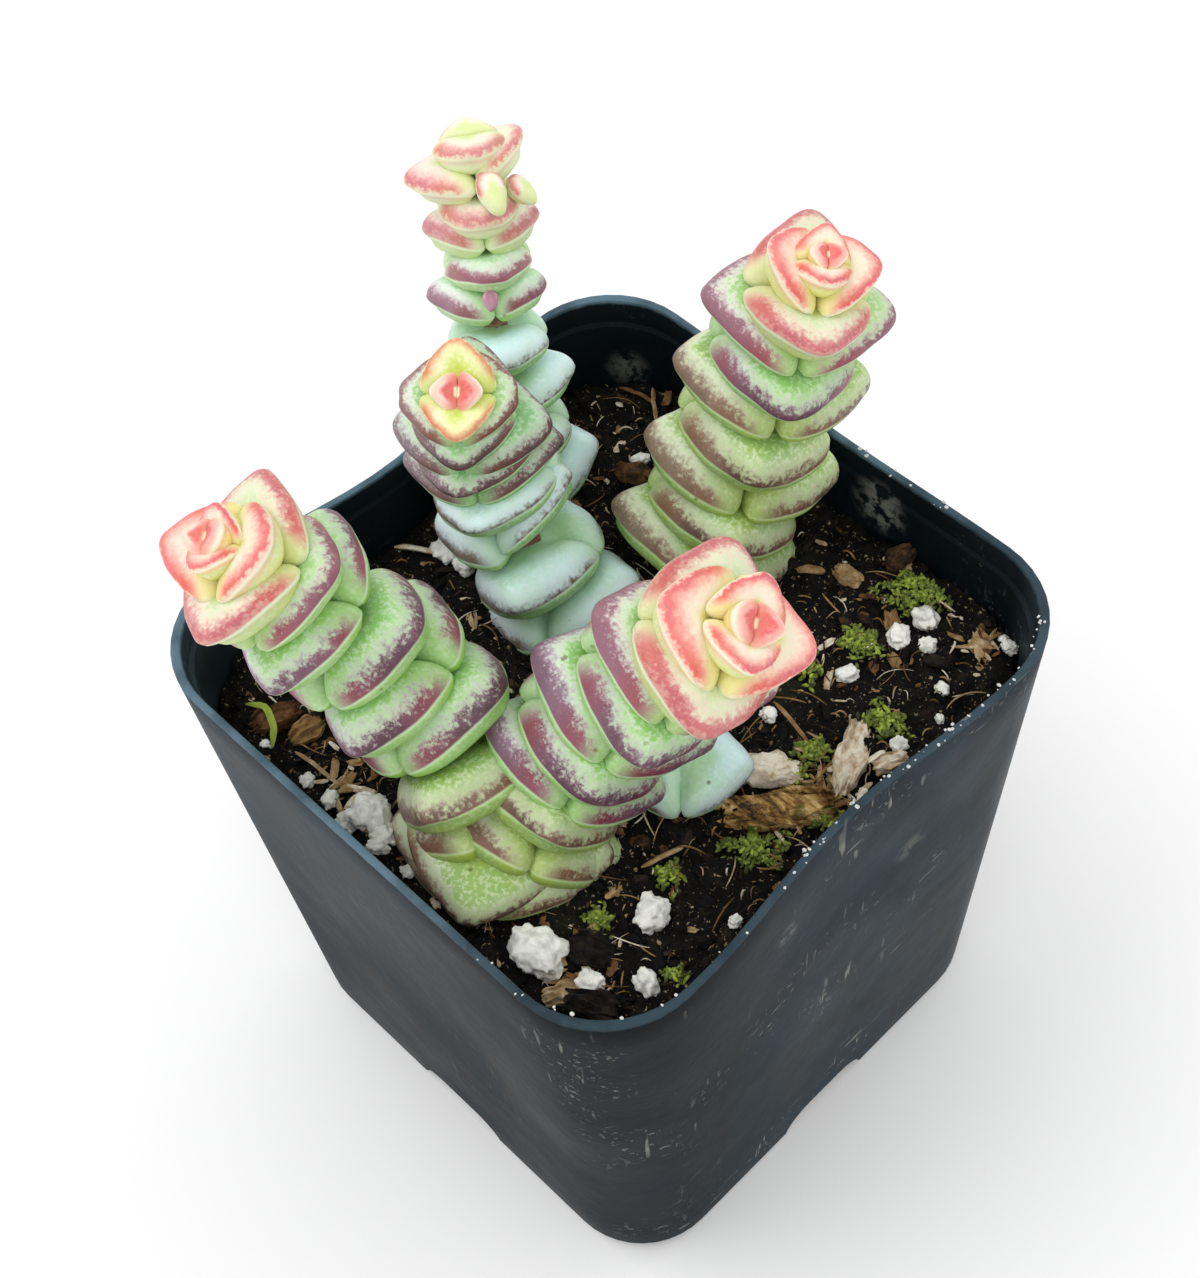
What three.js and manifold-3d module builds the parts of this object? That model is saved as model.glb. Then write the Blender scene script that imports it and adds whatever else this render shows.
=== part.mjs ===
// Potted jade necklace: five stacked-leaf stems in a square plastic nursery pot.
// Millimetres, +Z up. The origin is the middle of the pot's flat underside.
// The corner of the pot nearest the viewer is the one at +X, -Y.

import * as THREE from 'three';
import Module from 'manifold-3d';
import { mergeVertices } from 'three/addons/utils/BufferGeometryUtils.js';

// Clearance between pieces that touch
const GAP = 0.3;
const LEAST_OVERLAP = 0.001;

// Pot
const POT_HEIGHT = 59;
const POT_TOP = 57;
const POT_BASE = 50.4;
const TOP_CORNER = 10.6;
const BASE_CORNER = 8.4;
const WALL = 0.7;
const INNER_STEP = 0.3;
const STEP_DROP = 2.6;
const FLOOR = 0.9;
const BOTTOM_EDGE = 1.2;
const BOTTOM_ROUND = 0.3;
const RIM_EDGE = 0.2;
// How far the middle of each rim side bows inward, for the sides at +Y, -X, -Y and +X
const RIM_BOW = [0.4, 2.4, 0, 1.5];
const CORNER_STEPS = 5;
const SIDE_STEPS = 6;
const NOTCH_WIDTH = 11;
const NOTCH_HEIGHT = 3.6;
const NOTCH_REACH = 3.2;
// Arch of each notch, as shares of its width and height
const ARCH_SHOULDER = 0.55;
const ARCH_RISE = 1.15;
const ARCH_PULL = 0.42;

// Soil
const SOIL_LEVEL = 50;
const SOIL_BACK_RISE = 0.7;
const SOIL_CORNER_RISE = 1.5;
const SOIL_CRUMB = 0.35;
// Crumbly relief: radians per millimetre along X and Y
const FINE_WAVE = [0.9, 0.8];
const FINE_SHIFT = [1.3, 0.4];
const COARSE_WAVE = [0.37, -0.61];
const COARSE_SHARE = 0.6;
const SOIL_RINGS = [0.985, 0.88, 0.7, 0.5, 0.28];
const SOIL_SHOULDER = 1.2;
const SOIL_GAP = 0.35;

// Leaf pairs: one ring of two opposite leaves joined at their bases
const LEAF_WIDTH = 0.84;
const LEAF_POINT = 1.6;
const LEAF_FULLNESS = 0.88;
// The spacing that sets a pair's thickness is at most this share of its reach
const LEAF_THICKEST = 0.55;
const LEAF_CORNERS = 16;
const LEAF_HUB = 0.12;
const LEAF_SIDE_LIFT = 0.45;
// Share of a branch, from the tip down, over which the young colour fades out
const YOUNG_SHARE = 0.4;
const BUD_DEPTH = 1.8;
// Section from the stem out to the margin and back: share of the reach, then share of the spacing
const LEAF_TOP = [[0, 0.14], [0.5, 0.3], [0.88, 0.22]];
const LEAF_MARGIN = [1, -0.05];
const LEAF_UNDER = [[0.92, -0.36], [0, -0.56]];

// Stems
const STEM_RADIUS = 1.2;
const STEM_TIP_RADIUS = 0.9;
const STEM_HOLE = 1.55;
const STEM_CORNERS = 8;
const STEM_STEPS = 9;
const STEM_DEPTH = 8;
const FORK_ROOT = [6.3, -17.7, 49.1];
// Spacing down to the joined pair in the crotch, and the plane that parts the two branches there
const CROTCH_DROP = 4.2;
const CROTCH_POINT = [3.2, -14.4, 54.5];
const CROTCH_FACING = [0.92, 0.4, 0.27];
// Pairs of the two front branches that end at that plane, and the pair they share
const CROTCH_PAIRS = [8, 9];
const SHARED_PAIR = 10;

// The five leafy branches. path: four Bezier points from the soil up to the tip.
// spacings: from pair to pair, the tip first. solid: how many top pairs form the closed bud.
// turn: direction of the top leaf. reach: stem centre to leaf tip for young and old pairs.
// crown: size shares of the top four pairs. lifts: upward fold of the top five pairs, then lift.
const BRANCHES = [
  {
    name: 'front_left', joined: true, solid: 2,
    path: [FORK_ROOT, [-3.4, -12.5, 57.9], [-9.6, -18.9, 68.8], [-13.3, -25.1, 83.6]],
    spacings: [1.3, 1.4, 2.2, 3, 3.6, 5.4, 5.4, 4.6, 6.9], turn: -149, reach: [7.7, 8.8],
    crown: [0.24, 0.47, 0.79, 1], lifts: [62, 39, 26, 17, 11], lift: 6,
    young: 0xe8707a, mature: 0x9fb98a,
  },
  {
    name: 'front_right', joined: true, solid: 2,
    path: [FORK_ROOT, [4.2, -7.8, 58], [10.2, -3.9, 68.7], [18.9, -2.4, 80.2]],
    spacings: [1.7, 2.2, 3.2, 4, 4.3, 4.6, 4.4, 3.8, 3.8], turn: -139, reach: [8.5, 8.3],
    crown: [0.26, 0.58, 0.84, 1], lifts: [60, 33, 21, 16, 13], lift: 5,
    young: 0xe8707a, mature: 0x9fb98a,
  },
  {
    name: 'middle', joined: false, solid: 2,
    path: [[-8, 2.9, 49], [-13.9, 1.9, 60], [-18.4, 3, 69.1], [-14.8, -0.2, 77]],
    spacings: [0.9, 1.5, 2.1, 2.6, 2, 2.3, 2.6, 4.8, 5, 5], turn: 218, reach: [6.7, 7.8],
    crown: [0.3, 0.7, 0.8, 0.9], lifts: [50, 22, 11, 9, 0], lift: 5,
    young: 0xc4cf7a, mature: 0x93b59a,
  },
  {
    name: 'tall', joined: false, solid: 1,
    path: [[-20.5, 11, 49], [-18.6, 6.4, 58], [-24.5, 12.2, 69.6], [-27.7, 14.3, 84.6]],
    spacings: [2.1, 3, 2.7, 3, 3.2, 4.4, 4.7, 4.6, 5.1], turn: -37, reach: [4.9, 6.8],
    crown: [0.75, 1.12, 1.05, 1.05], lifts: [48, 17, 3, 12, 10], lift: 8,
    young: 0xc9cf88, mature: 0x93b59a,
  },
  {
    name: 'back_right', joined: false, solid: 2,
    path: [[-3.7, 12.5, 49], [-2.5, 21.4, 60.5], [-2.3, 22.8, 73], [2.4, 23.9, 85.4]],
    spacings: [1.6, 1.6, 2.4, 3, 3.7, 4.2, 5.1, 5.1, 4.4, 4.4], turn: 225, reach: [8.2, 8.9],
    crown: [0.2, 0.44, 0.71, 0.92], lifts: [60, 37, 32, 16, 12], lift: 5,
    young: 0xe8707a, mature: 0x9fb98a,
  },
];

// Old pairs under the crotch and the pair of a loose low shoot, from the top down
const LOW_PAIRS = [
  { name: 'fork_pair_2', at: [3.9, -17.2, 52.2], up: [0.05, -0.05, 1], turn: -58, reach: 9.2, lift: 0 },
  { name: 'fork_pair_3', at: [4.5, -17.4, 50.8], up: [0, 0, 1], turn: 31, reach: 9.5, lift: 0 },
  { name: 'shoot_pair', at: [11, -2.6, 51.6], up: [0.1, -0.1, 1], turn: 42, reach: 6, lift: 4 },
];
const LOW_SPACING = 3;

// Loose bits on the soil: middle, turn, length, width and height
const LOOSE_BITS = [
  { name: 'perlite_lump', x: 14.2, y: -22.6, turn: 20, size: [5.2, 4, 3.4], rough: 0.12 },
  { name: 'bark_chip', x: 19.4, y: 0.2, turn: 40, size: [7.4, 3.6, 2.4], rough: 0.06 },
];
const BIT_SINK = 0.3;
// Radians per radius along the bit's own axes, and the share of the upright wave
const KNOB_WAVES = [4.1, 3.7, 6];
const KNOB_SHARE = 0.5;

const COLOURS = {
  pot: 0x3d4347, soil: 0x2b231c, stem: 0x8a6a4c, low_leaf: 0x9dbb95,
  perlite_lump: 0xe9e8e2, bark_chip: 0x8a6536,
};

const POT_ROUGHNESS = 0.45;
const PLANT_ROUGHNESS = 0.6;

const kit = await Module();
kit.setup();

const { cos, sin, PI, abs, sign } = Math;
const radians = THREE.MathUtils.degToRad;
const mix = THREE.MathUtils.lerp;
const vector = (point) => new THREE.Vector3(...point);

// Shared ways of making shapes

// Skin over a row of rings with equally many points; a looped row closes on itself like a tyre
function skin(rings, looped) {
  const around = rings[0].length;
  const positions = rings.flat().flatMap((point) => [point.x, point.y, point.z]);
  const faces = [];
  const rows = looped ? rings.length : rings.length - 1;
  for (let row = 0; row < rows; row += 1) {
    const here = row * around;
    const there = ((row + 1) % rings.length) * around;
    for (let i = 0; i < around; i += 1) {
      const next = (i + 1) % around;
      faces.push(here + i, here + next, there + next);
      faces.push(here + i, there + next, there + i);
    }
  }
  if (!looped) {
    for (const [row, forward] of [[0, false], [rings.length - 1, true]]) {
      const centre = new THREE.Vector3();
      rings[row].forEach((point) => centre.addScaledVector(point, 1 / around));
      positions.push(centre.x, centre.y, centre.z);
      const hub = positions.length / 3 - 1;
      for (let i = 0; i < around; i += 1) {
        const a = row * around + i;
        const b = row * around + (i + 1) % around;
        faces.push(hub, forward ? a : b, forward ? b : a);
      }
    }
  }
  const geometry = new THREE.BufferGeometry();
  geometry.setAttribute('position', new THREE.Float32BufferAttribute(positions, 3));
  geometry.setIndex(faces);
  return geometry;
}

// Six times the volume inside a closed indexed geometry, negative when its faces point inward
function signedVolume(geometry) {
  const at = geometry.getAttribute('position');
  const index = geometry.getIndex();
  const corners = [new THREE.Vector3(), new THREE.Vector3(), new THREE.Vector3()];
  let total = 0;
  for (let i = 0; i < index.count; i += 3) {
    corners.forEach((corner, j) => corner.fromBufferAttribute(at, index.getX(i + j)));
    total += corners[0].dot(corners[1].clone().cross(corners[2]));
  }
  return total;
}

function solidOf(source, matrix) {
  let geometry = source.clone();
  geometry.deleteAttribute('normal');
  geometry.deleteAttribute('uv');
  geometry = mergeVertices(geometry, 1e-5);
  if (matrix) geometry.applyMatrix4(matrix);
  const triVerts = new Uint32Array(geometry.getIndex().array);
  if (signedVolume(geometry) < 0) {
    for (let i = 0; i < triVerts.length; i += 3) {
      [triVerts[i + 1], triVerts[i + 2]] = [triVerts[i + 2], triVerts[i + 1]];
    }
  }
  const vertProperties = new Float32Array(geometry.getAttribute('position').array);
  return new kit.Manifold(new kit.Mesh({ numProp: 3, vertProperties, triVerts }));
}

function geometryOf(solid, matrix) {
  const mesh = solid.getMesh();
  let geometry = new THREE.BufferGeometry();
  geometry.setAttribute('position', new THREE.BufferAttribute(mesh.vertProperties.slice(), 3));
  geometry.setIndex(new THREE.BufferAttribute(mesh.triVerts.slice(), 1));
  geometry.applyMatrix4(matrix.clone().invert());
  geometry = geometry.toNonIndexed();
  geometry.computeVertexNormals();
  return geometry;
}

// Pot and soil

// One level outline of the tapered pot, moved inward by inset
function potOutline(height, inset) {
  const rise = height / POT_HEIGHT;
  const half = mix(POT_BASE, POT_TOP, rise) / 2 - inset;
  const corner = mix(BASE_CORNER, TOP_CORNER, rise) - inset;
  const middle = half - corner;
  const points = [];
  const turned = (x, y, side) => {
    const quarter = side * PI / 2;
    points.push(new THREE.Vector3(
      x * cos(quarter) - y * sin(quarter),
      x * sin(quarter) + y * cos(quarter),
      height,
    ));
  };
  RIM_BOW.forEach((bow, side) => {
    for (let i = 0; i <= CORNER_STEPS; i += 1) {
      const angle = i / CORNER_STEPS * PI / 2;
      turned(middle + corner * cos(angle), middle + corner * sin(angle), side);
    }
    for (let i = 1; i < SIDE_STEPS; i += 1) {
      const along = i / SIDE_STEPS;
      const inward = bow * rise * rise * sin(PI * along) ** 2;
      turned(mix(middle, -middle, along), half - inward, side);
    }
  });
  return points;
}

function makePot() {
  const levels = [
    [0, BOTTOM_EDGE],
    [BOTTOM_EDGE * BOTTOM_ROUND, BOTTOM_EDGE * BOTTOM_ROUND],
    [BOTTOM_EDGE, 0],
    [POT_HEIGHT / 2, 0],
    [POT_HEIGHT - RIM_EDGE, 0],
    [POT_HEIGHT, RIM_EDGE],
    [POT_HEIGHT, WALL - RIM_EDGE],
    [POT_HEIGHT - RIM_EDGE, WALL],
    [POT_HEIGHT - STEP_DROP, WALL],
    [POT_HEIGHT - STEP_DROP - INNER_STEP, WALL + INNER_STEP],
    [POT_HEIGHT / 2, WALL + INNER_STEP],
    [FLOOR + BOTTOM_EDGE, WALL + INNER_STEP],
    [FLOOR, WALL + INNER_STEP + BOTTOM_EDGE],
  ];
  let pot = solidOf(skin(levels.map(([height, inset]) => potOutline(height, inset)), false));
  const arch = new THREE.Shape();
  arch.moveTo(-NOTCH_WIDTH / 2, -1);
  arch.lineTo(NOTCH_WIDTH / 2, -1);
  arch.lineTo(NOTCH_WIDTH / 2, NOTCH_HEIGHT * ARCH_SHOULDER);
  arch.bezierCurveTo(
    NOTCH_WIDTH * ARCH_PULL, NOTCH_HEIGHT * ARCH_RISE, -NOTCH_WIDTH * ARCH_PULL, NOTCH_HEIGHT * ARCH_RISE,
    -NOTCH_WIDTH / 2, NOTCH_HEIGHT * ARCH_SHOULDER,
  );
  const cut = { depth: NOTCH_REACH * 2, bevelEnabled: false, curveSegments: CORNER_STEPS };
  const cutter = new THREE.ExtrudeGeometry(arch, cut);
  for (let side = 0; side < 4; side += 1) {
    const place = new THREE.Matrix4().makeRotationZ(side * PI / 2)
      .multiply(new THREE.Matrix4().makeTranslation(0, -POT_BASE / 2 + NOTCH_REACH, 0))
      .multiply(new THREE.Matrix4().makeRotationX(PI / 2));
    pot = pot.subtract(solidOf(cutter, place));
  }
  return pot;
}

function soilHeight(x, y) {
  const back = Math.max(0, y) / (POT_TOP / 2);
  const slope = SOIL_BACK_RISE * back + SOIL_CORNER_RISE * back * x / (POT_TOP / 2);
  const fine = sin(x * FINE_WAVE[0] + FINE_SHIFT[0]) * sin(y * FINE_WAVE[1] + FINE_SHIFT[1]);
  const coarse = COARSE_SHARE * sin(x * COARSE_WAVE[0] + y * COARSE_WAVE[1]);
  return SOIL_LEVEL + slope + SOIL_CRUMB * (fine + coarse);
}

function makeSoil() {
  const inset = WALL + INNER_STEP + SOIL_GAP;
  const rings = [
    potOutline(FLOOR + GAP, inset + BOTTOM_EDGE),
    potOutline(FLOOR + GAP + BOTTOM_EDGE, inset),
    potOutline(POT_HEIGHT / 2, inset),
    potOutline(SOIL_LEVEL - SOIL_SHOULDER, inset),
  ];
  for (const share of SOIL_RINGS) {
    rings.push(potOutline(SOIL_LEVEL, inset).map((point) => {
      const x = point.x * share;
      const y = point.y * share;
      return new THREE.Vector3(x, y, soilHeight(x, y));
    }));
  }
  return solidOf(skin(rings, false));
}

// Stems

function bezier(path) {
  return new THREE.CubicBezierCurve3(...path.map(vector));
}

// Point and upward direction at a distance down from the tip, carrying on straight below the path
function along(curve, down) {
  const length = curve.getLength();
  const share = Math.max(0, 1 - down / length);
  const up = curve.getTangentAt(share);
  const point = curve.getPointAt(share).addScaledVector(up, -Math.max(0, down - length));
  return { point, up };
}

// Direction across the stem, turned about it from the +X side
function across(up, turn) {
  const east = new THREE.Vector3(1, 0, 0).addScaledVector(up, -up.x).normalize();
  const north = up.clone().cross(east);
  return east.multiplyScalar(cos(turn)).addScaledVector(north, sin(turn));
}

function tube(points, thicken) {
  const rings = points.map((point, i) => {
    const before = points[Math.max(0, i - 1)];
    const after = points[Math.min(points.length - 1, i + 1)];
    const up = after.clone().sub(before).normalize();
    const radius = mix(STEM_RADIUS, STEM_TIP_RADIUS, i / (points.length - 1)) + thicken;
    const ring = [];
    for (let corner = 0; corner < STEM_CORNERS; corner += 1) {
      const side = across(up, corner / STEM_CORNERS * 2 * PI);
      ring.push(point.clone().addScaledVector(side, radius));
    }
    return ring;
  });
  return solidOf(skin(rings, false));
}

function stemPoints(branch, layout) {
  const foot = vector(branch.path[0]);
  foot.z -= STEM_DEPTH;
  const length = layout.curve.getLength();
  const points = [foot];
  for (let i = 0; i < STEM_STEPS; i += 1) {
    points.push(along(layout.curve, mix(length, layout.stemEnd, i / (STEM_STEPS - 1))).point);
  }
  return points;
}

// Leaf pairs

// A pair in its own frame: leaves along X, the stem along Z. hole 0 makes it solid.
function pairShape(pair, hole, thicken) {
  const lift = radians(pair.lift);
  const section = [...LEAF_TOP, LEAF_MARGIN, ...LEAF_UNDER];
  const rings = section.map(([out, thick]) => {
    const ring = [];
    for (let i = 0; i < LEAF_CORNERS; i += 1) {
      const angle = i / LEAF_CORNERS * 2 * PI;
      const reach = pair.reach + thicken;
      const rimX = reach * sign(cos(angle)) * abs(cos(angle)) ** LEAF_FULLNESS;
      const rimY = LEAF_WIDTH * reach * sign(sin(angle)) * abs(sin(angle)) ** LEAF_POINT;
      const inner = hole > 0 ? hole : LEAF_HUB * reach;
      const x = mix(inner * cos(angle), rimX, out);
      const y = mix(inner * sin(angle), rimY, out);
      const spacing = thick > 0 ? pair.above : pair.below;
      const height = thick * spacing + (out < 1 ? sign(thick) * thicken : 0);
      const raised = sin(lift) * (abs(x) + LEAF_SIDE_LIFT * abs(y));
      ring.push(new THREE.Vector3(x * cos(lift), y, height + raised));
    }
    return ring;
  });
  return skin(rings, hole > 0);
}

function placement(point, up, turn) {
  const side = across(up, turn);
  const flank = up.clone().cross(side);
  const matrix = new THREE.Matrix4().makeBasis(side, flank, up);
  return matrix.setPosition(point);
}

// All pairs of a branch from the tip down, with spacing, size, lift and place
function layOut(branch) {
  const curve = bezier(branch.path);
  const gaps = branch.joined ? [...branch.spacings, CROTCH_DROP] : branch.spacings;
  const pairs = [];
  let down = 0;
  for (let i = 0; i <= gaps.length; i += 1) {
    const age = THREE.MathUtils.clamp((i - 3) / (branch.spacings.length - 3), 0, 1);
    const { point, up } = along(curve, down);
    const turn = radians(branch.turn + 90 * (i % 2));
    const reach = mix(...branch.reach, age) * (branch.crown[i] ?? 1);
    const inBud = i < branch.solid - 1;
    const thickest = LEAF_THICKEST * reach;
    const pair = {
      reach,
      lift: branch.lifts[i] ?? branch.lift,
      above: Math.min(thickest, gaps[Math.max(0, i - 1)]),
      below: inBud ? BUD_DEPTH * gaps[i] : Math.min(thickest, gaps[i] ?? gaps[i - 1]),
      matrix: placement(point, up, turn),
      age,
      down,
    };
    pair.full = solidOf(pairShape(pair, 0, 0), pair.matrix);
    pair.grown = solidOf(pairShape(pair, 0, GAP), pair.matrix);
    pairs.push(pair);
    down += gaps[i] ?? 0;
  }
  const last = pairs[branch.solid - 1];
  const thickness = -LEAF_UNDER.at(-1)[1] * last.below;
  return { curve, pairs, stemEnd: last.down + thickness + 2 * GAP };
}

// Everything is gathered here as { name, group, solid, matrix, colour } before meshes are made
const pieces = [];
function keep(name, group, solid, matrix, colour) {
  const piece = { name, group, solid, matrix, colour };
  pieces.push(piece);
  return piece;
}

// Cuts a piece where a neighbour reaches into it, with clearance, and drops cut-off slivers
function makeRoom(piece, neighbour) {
  if (piece.solid.intersect(neighbour.full).volume() > LEAST_OVERLAP) {
    const bodies = piece.solid.subtract(neighbour.grown).decompose();
    bodies.sort((one, other) => other.volume() - one.volume());
    [piece.solid] = bodies;
  }
}

function makeBranch(branch) {
  const layout = layOut(branch);
  const group = branch.name;
  const colourAt = (age) => {
    const share = THREE.MathUtils.clamp(age / YOUNG_SHARE, 0, 1);
    return new THREE.Color(branch.young).lerp(new THREE.Color(branch.mature), share);
  };
  let bud = null;
  layout.pairs.slice(0, branch.spacings.length + 1).forEach((pair, i) => {
    if (i < branch.solid) {
      bud = bud ? bud.add(pair.full) : pair.full;
      if (i === branch.solid - 1) keep(`${group}_bud`, group, bud, pair.matrix, colourAt(0));
      return;
    }
    const solid = solidOf(pairShape(pair, STEM_HOLE, 0), pair.matrix);
    pair.piece = keep(`${group}_pair_${i}`, group, solid, pair.matrix, colourAt(pair.age));
    makeRoom(pair.piece, layout.pairs[i - 1]);
  });
  return layout;
}

function makeLowPair(low) {
  const pair = { ...low, above: LOW_SPACING, below: LOW_SPACING };
  pair.matrix = placement(vector(low.at), vector(low.up).normalize(), radians(low.turn));
  pair.full = solidOf(pairShape(pair, 0, 0), pair.matrix);
  pair.grown = solidOf(pairShape(pair, 0, GAP), pair.matrix);
  pair.piece = keep(low.name, 'low_leaves', pair.full, pair.matrix, COLOURS.low_leaf);
  return pair;
}

// Loose bits

function lump({ x, y, turn, size, rough }, thicken) {
  const geometry = new THREE.IcosahedronGeometry(1, 1);
  const at = geometry.getAttribute('position');
  const [length, width, height] = size.map((extent) => extent / 2 + thicken);
  for (let i = 0; i < at.count; i += 1) {
    const corner = new THREE.Vector3().fromBufferAttribute(at, i);
    const level = sin(corner.x * KNOB_WAVES[0] + x) * cos(corner.y * KNOB_WAVES[1] + y);
    const upright = KNOB_SHARE * sin(corner.z * KNOB_WAVES[2] + x);
    corner.multiplyScalar(1 + rough * (level + upright));
    at.setXYZ(i, corner.x * length, corner.y * width, corner.z * height);
  }
  const place = new THREE.Matrix4().makeRotationZ(radians(turn));
  place.setPosition(x, y, soilHeight(x, y) + size[2] * (0.5 - BIT_SINK));
  return { solid: solidOf(geometry, place), place };
}

// Everything on one side of the plane between the two front branches
function crotchSide(facing) {
  const extent = POT_TOP;
  const normal = vector(CROTCH_FACING).normalize().multiplyScalar(facing);
  const turn = new THREE.Quaternion().setFromUnitVectors(new THREE.Vector3(0, 0, 1), normal);
  const middle = vector(CROTCH_POINT).addScaledVector(normal, (extent + GAP) / 2);
  const place = new THREE.Matrix4().compose(middle, turn, new THREE.Vector3(1, 1, 1));
  return solidOf(new THREE.BoxGeometry(extent, extent, extent), place);
}

// Assembly

const pot = keep('pot', 'container', makePot(), new THREE.Matrix4(), COLOURS.pot);
const soil = keep('soil', 'container', makeSoil(), new THREE.Matrix4(), COLOURS.soil);

const layouts = Object.fromEntries(BRANCHES.map((branch) => [branch.name, makeBranch(branch)]));

// The two front branches share one forked stem
const STEMS = {
  fork_stem: ['front_left', 'front_right'], middle_stem: ['middle'],
  tall_stem: ['tall'], back_right_stem: ['back_right'],
};
const stems = {};
for (const [name, branchNames] of Object.entries(STEMS)) {
  const shape = (thicken) => BRANCHES.filter((branch) => branchNames.includes(branch.name))
    .map((branch) => tube(stemPoints(branch, layouts[branch.name]), thicken))
    .reduce((one, other) => one.add(other));
  const stem = { full: shape(0), grown: shape(GAP) };
  stems[name] = stem;
  keep(name, branchNames[0], stem.full, new THREE.Matrix4(), COLOURS.stem);
  soil.solid = soil.solid.subtract(stem.grown);
  for (const pair of branchNames.flatMap((branchName) => layouts[branchName].pairs)) {
    if (pair.piece) makeRoom(pair.piece, stem);
  }
}

// The lowest pairs of the two front branches end at the plane between them
const left = layouts.front_left.pairs;
const right = layouts.front_right.pairs;
for (const i of CROTCH_PAIRS) {
  left[i].piece.solid = left[i].piece.solid.intersect(crotchSide(-1));
  right[i].piece.solid = right[i].piece.solid.intersect(crotchSide(1));
}
for (const pair of layouts.tall.pairs.filter((candidate) => candidate.piece)) {
  for (const neighbour of layouts.middle.pairs) makeRoom(pair.piece, neighbour);
}
const joined = {
  full: left[SHARED_PAIR].full.add(right[SHARED_PAIR].full),
  grown: left[SHARED_PAIR].grown.add(right[SHARED_PAIR].grown),
};
joined.piece = keep('fork_pair_1', 'low_leaves', joined.full, left[SHARED_PAIR].matrix, COLOURS.low_leaf);

const lowPairs = [joined, ...LOW_PAIRS.map(makeLowPair)];
const branchPairs = Object.values(layouts).flatMap((layout) => layout.pairs).filter((pair) => pair.piece);
lowPairs.forEach((low, i) => {
  makeRoom(low.piece, stems.fork_stem);
  const uppers = [...branchPairs, ...lowPairs.slice(0, i)];
  for (const upper of uppers) makeRoom(low.piece, upper);
});
for (const pair of [...branchPairs, ...lowPairs]) makeRoom(soil, pair);

for (const bit of LOOSE_BITS) {
  const { solid, place } = lump(bit, 0);
  keep(bit.name, 'loose_bits', solid, place, COLOURS[bit.name]);
  soil.solid = soil.solid.subtract(lump(bit, GAP).solid);
}

const root = new THREE.Group();
root.name = 'potted_jade_necklace';
const groups = {};
for (const piece of pieces) {
  if (!groups[piece.group]) {
    groups[piece.group] = new THREE.Group();
    root.add(groups[piece.group]);
  }
  const roughness = piece === pot ? POT_ROUGHNESS : PLANT_ROUGHNESS;
  const material = new THREE.MeshStandardMaterial({ color: piece.colour, roughness, metalness: 0 });
  const mesh = new THREE.Mesh(geometryOf(piece.solid, piece.matrix), material);
  mesh.name = piece.name;
  piece.matrix.decompose(mesh.position, mesh.quaternion, mesh.scale);
  groups[piece.group].add(mesh);
}

export default root;
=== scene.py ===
"""Potted jade necklace: five stems of stacked leaf pairs in a square nursery pot of dark plastic.

Sizes in the tables are millimetres, as in the part's own drawing, and MM turns them to metres.
The pot's corner nearest the viewer is the one at +X, -Y.
"""

import math
import random

import bmesh
import bpy
import numpy as np
from mathutils import Matrix, Vector, noise


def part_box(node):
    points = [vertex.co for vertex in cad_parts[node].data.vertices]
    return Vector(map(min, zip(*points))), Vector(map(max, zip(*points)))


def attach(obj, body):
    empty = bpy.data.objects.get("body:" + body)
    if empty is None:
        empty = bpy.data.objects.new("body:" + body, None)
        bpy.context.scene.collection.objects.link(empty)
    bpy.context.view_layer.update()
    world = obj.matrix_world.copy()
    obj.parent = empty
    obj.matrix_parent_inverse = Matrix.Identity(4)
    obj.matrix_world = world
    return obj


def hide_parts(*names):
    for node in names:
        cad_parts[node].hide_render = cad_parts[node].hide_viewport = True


bl_info = {
    "name": "Potted Jade Necklace",
    "version": (1, 0, 0),
    "blender": (4, 5, 0),
    "location": "View3D > Sidebar > Jade Necklace",
    "description": "Builds a potted jade necklace around its packed model",
    "category": "Object",
}

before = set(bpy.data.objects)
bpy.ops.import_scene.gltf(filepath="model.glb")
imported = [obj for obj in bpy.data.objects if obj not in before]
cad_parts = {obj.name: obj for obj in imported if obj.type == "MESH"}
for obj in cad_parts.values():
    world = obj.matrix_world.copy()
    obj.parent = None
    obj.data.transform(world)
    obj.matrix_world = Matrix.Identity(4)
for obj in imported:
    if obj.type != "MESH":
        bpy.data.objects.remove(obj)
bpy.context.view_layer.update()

MM = 0.001
BODY = "root"

# Pot
POT_HEIGHT = 59
FOOT_HALF = 25.2
TOP_HALF = 28.5
POT_WALL = 0.7
INNER_STEP = 0.3
STEP_DROP = 2.6
POT_FLOOR = 0.9
BOTTOM_EDGE = 1.2
RIM_EDGE = 0.22
FOOT_CORNER = 8.8
CORNER_STEPS = 10
SIDE_CUTS = 13
# How far the middle of each rim side bows inward: direction, then millimetres
RIM_BOWS = [((0, 1), 0.4), ((-1, 0), 2.4), ((0, -1), 0), ((1, 0), 1.5)]
# Half of the straight part of a side, as a share of the half width
STRAIGHT_SHARE = 0.65
# Dried residue and scuffs on the walls, painted glints at the inner back corner and a painted reflection on
# the wall at +X: x, y, z, spread and strength
RESIDUES_AND_PAINTED_GLINTS = [
    (6.5, 27.2, 54.2, 3.6, 1.0),
    # Painted glints on the inner wall at the back corner
    (-24.0, 26.6, 50.6, 3.2, 0.8),
    (27.5, -7.3, 50.1, 1.8, 0.5),
    (3.2, -27.0, 53.4, 2.0, 0.4),
    # Painted soft reflection on the wall at +X
    (26.6, 8.0, 44.0, 2.4, 0.35),
]
# Rings of points on the walls, as shares of the height
OUTER_RINGS = (0.2, 0.4, 0.6, 0.8, 0.92)
INNER_RINGS = (0.8, 0.5)
# Drain notches: width, depth and height, the radius at their top, and the clear wall above them
NOTCH_SIZE = (11, 6.4, 3.6)
NOTCH_ROUND = 3.2
NOTCH_MARGIN = 0.6

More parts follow.
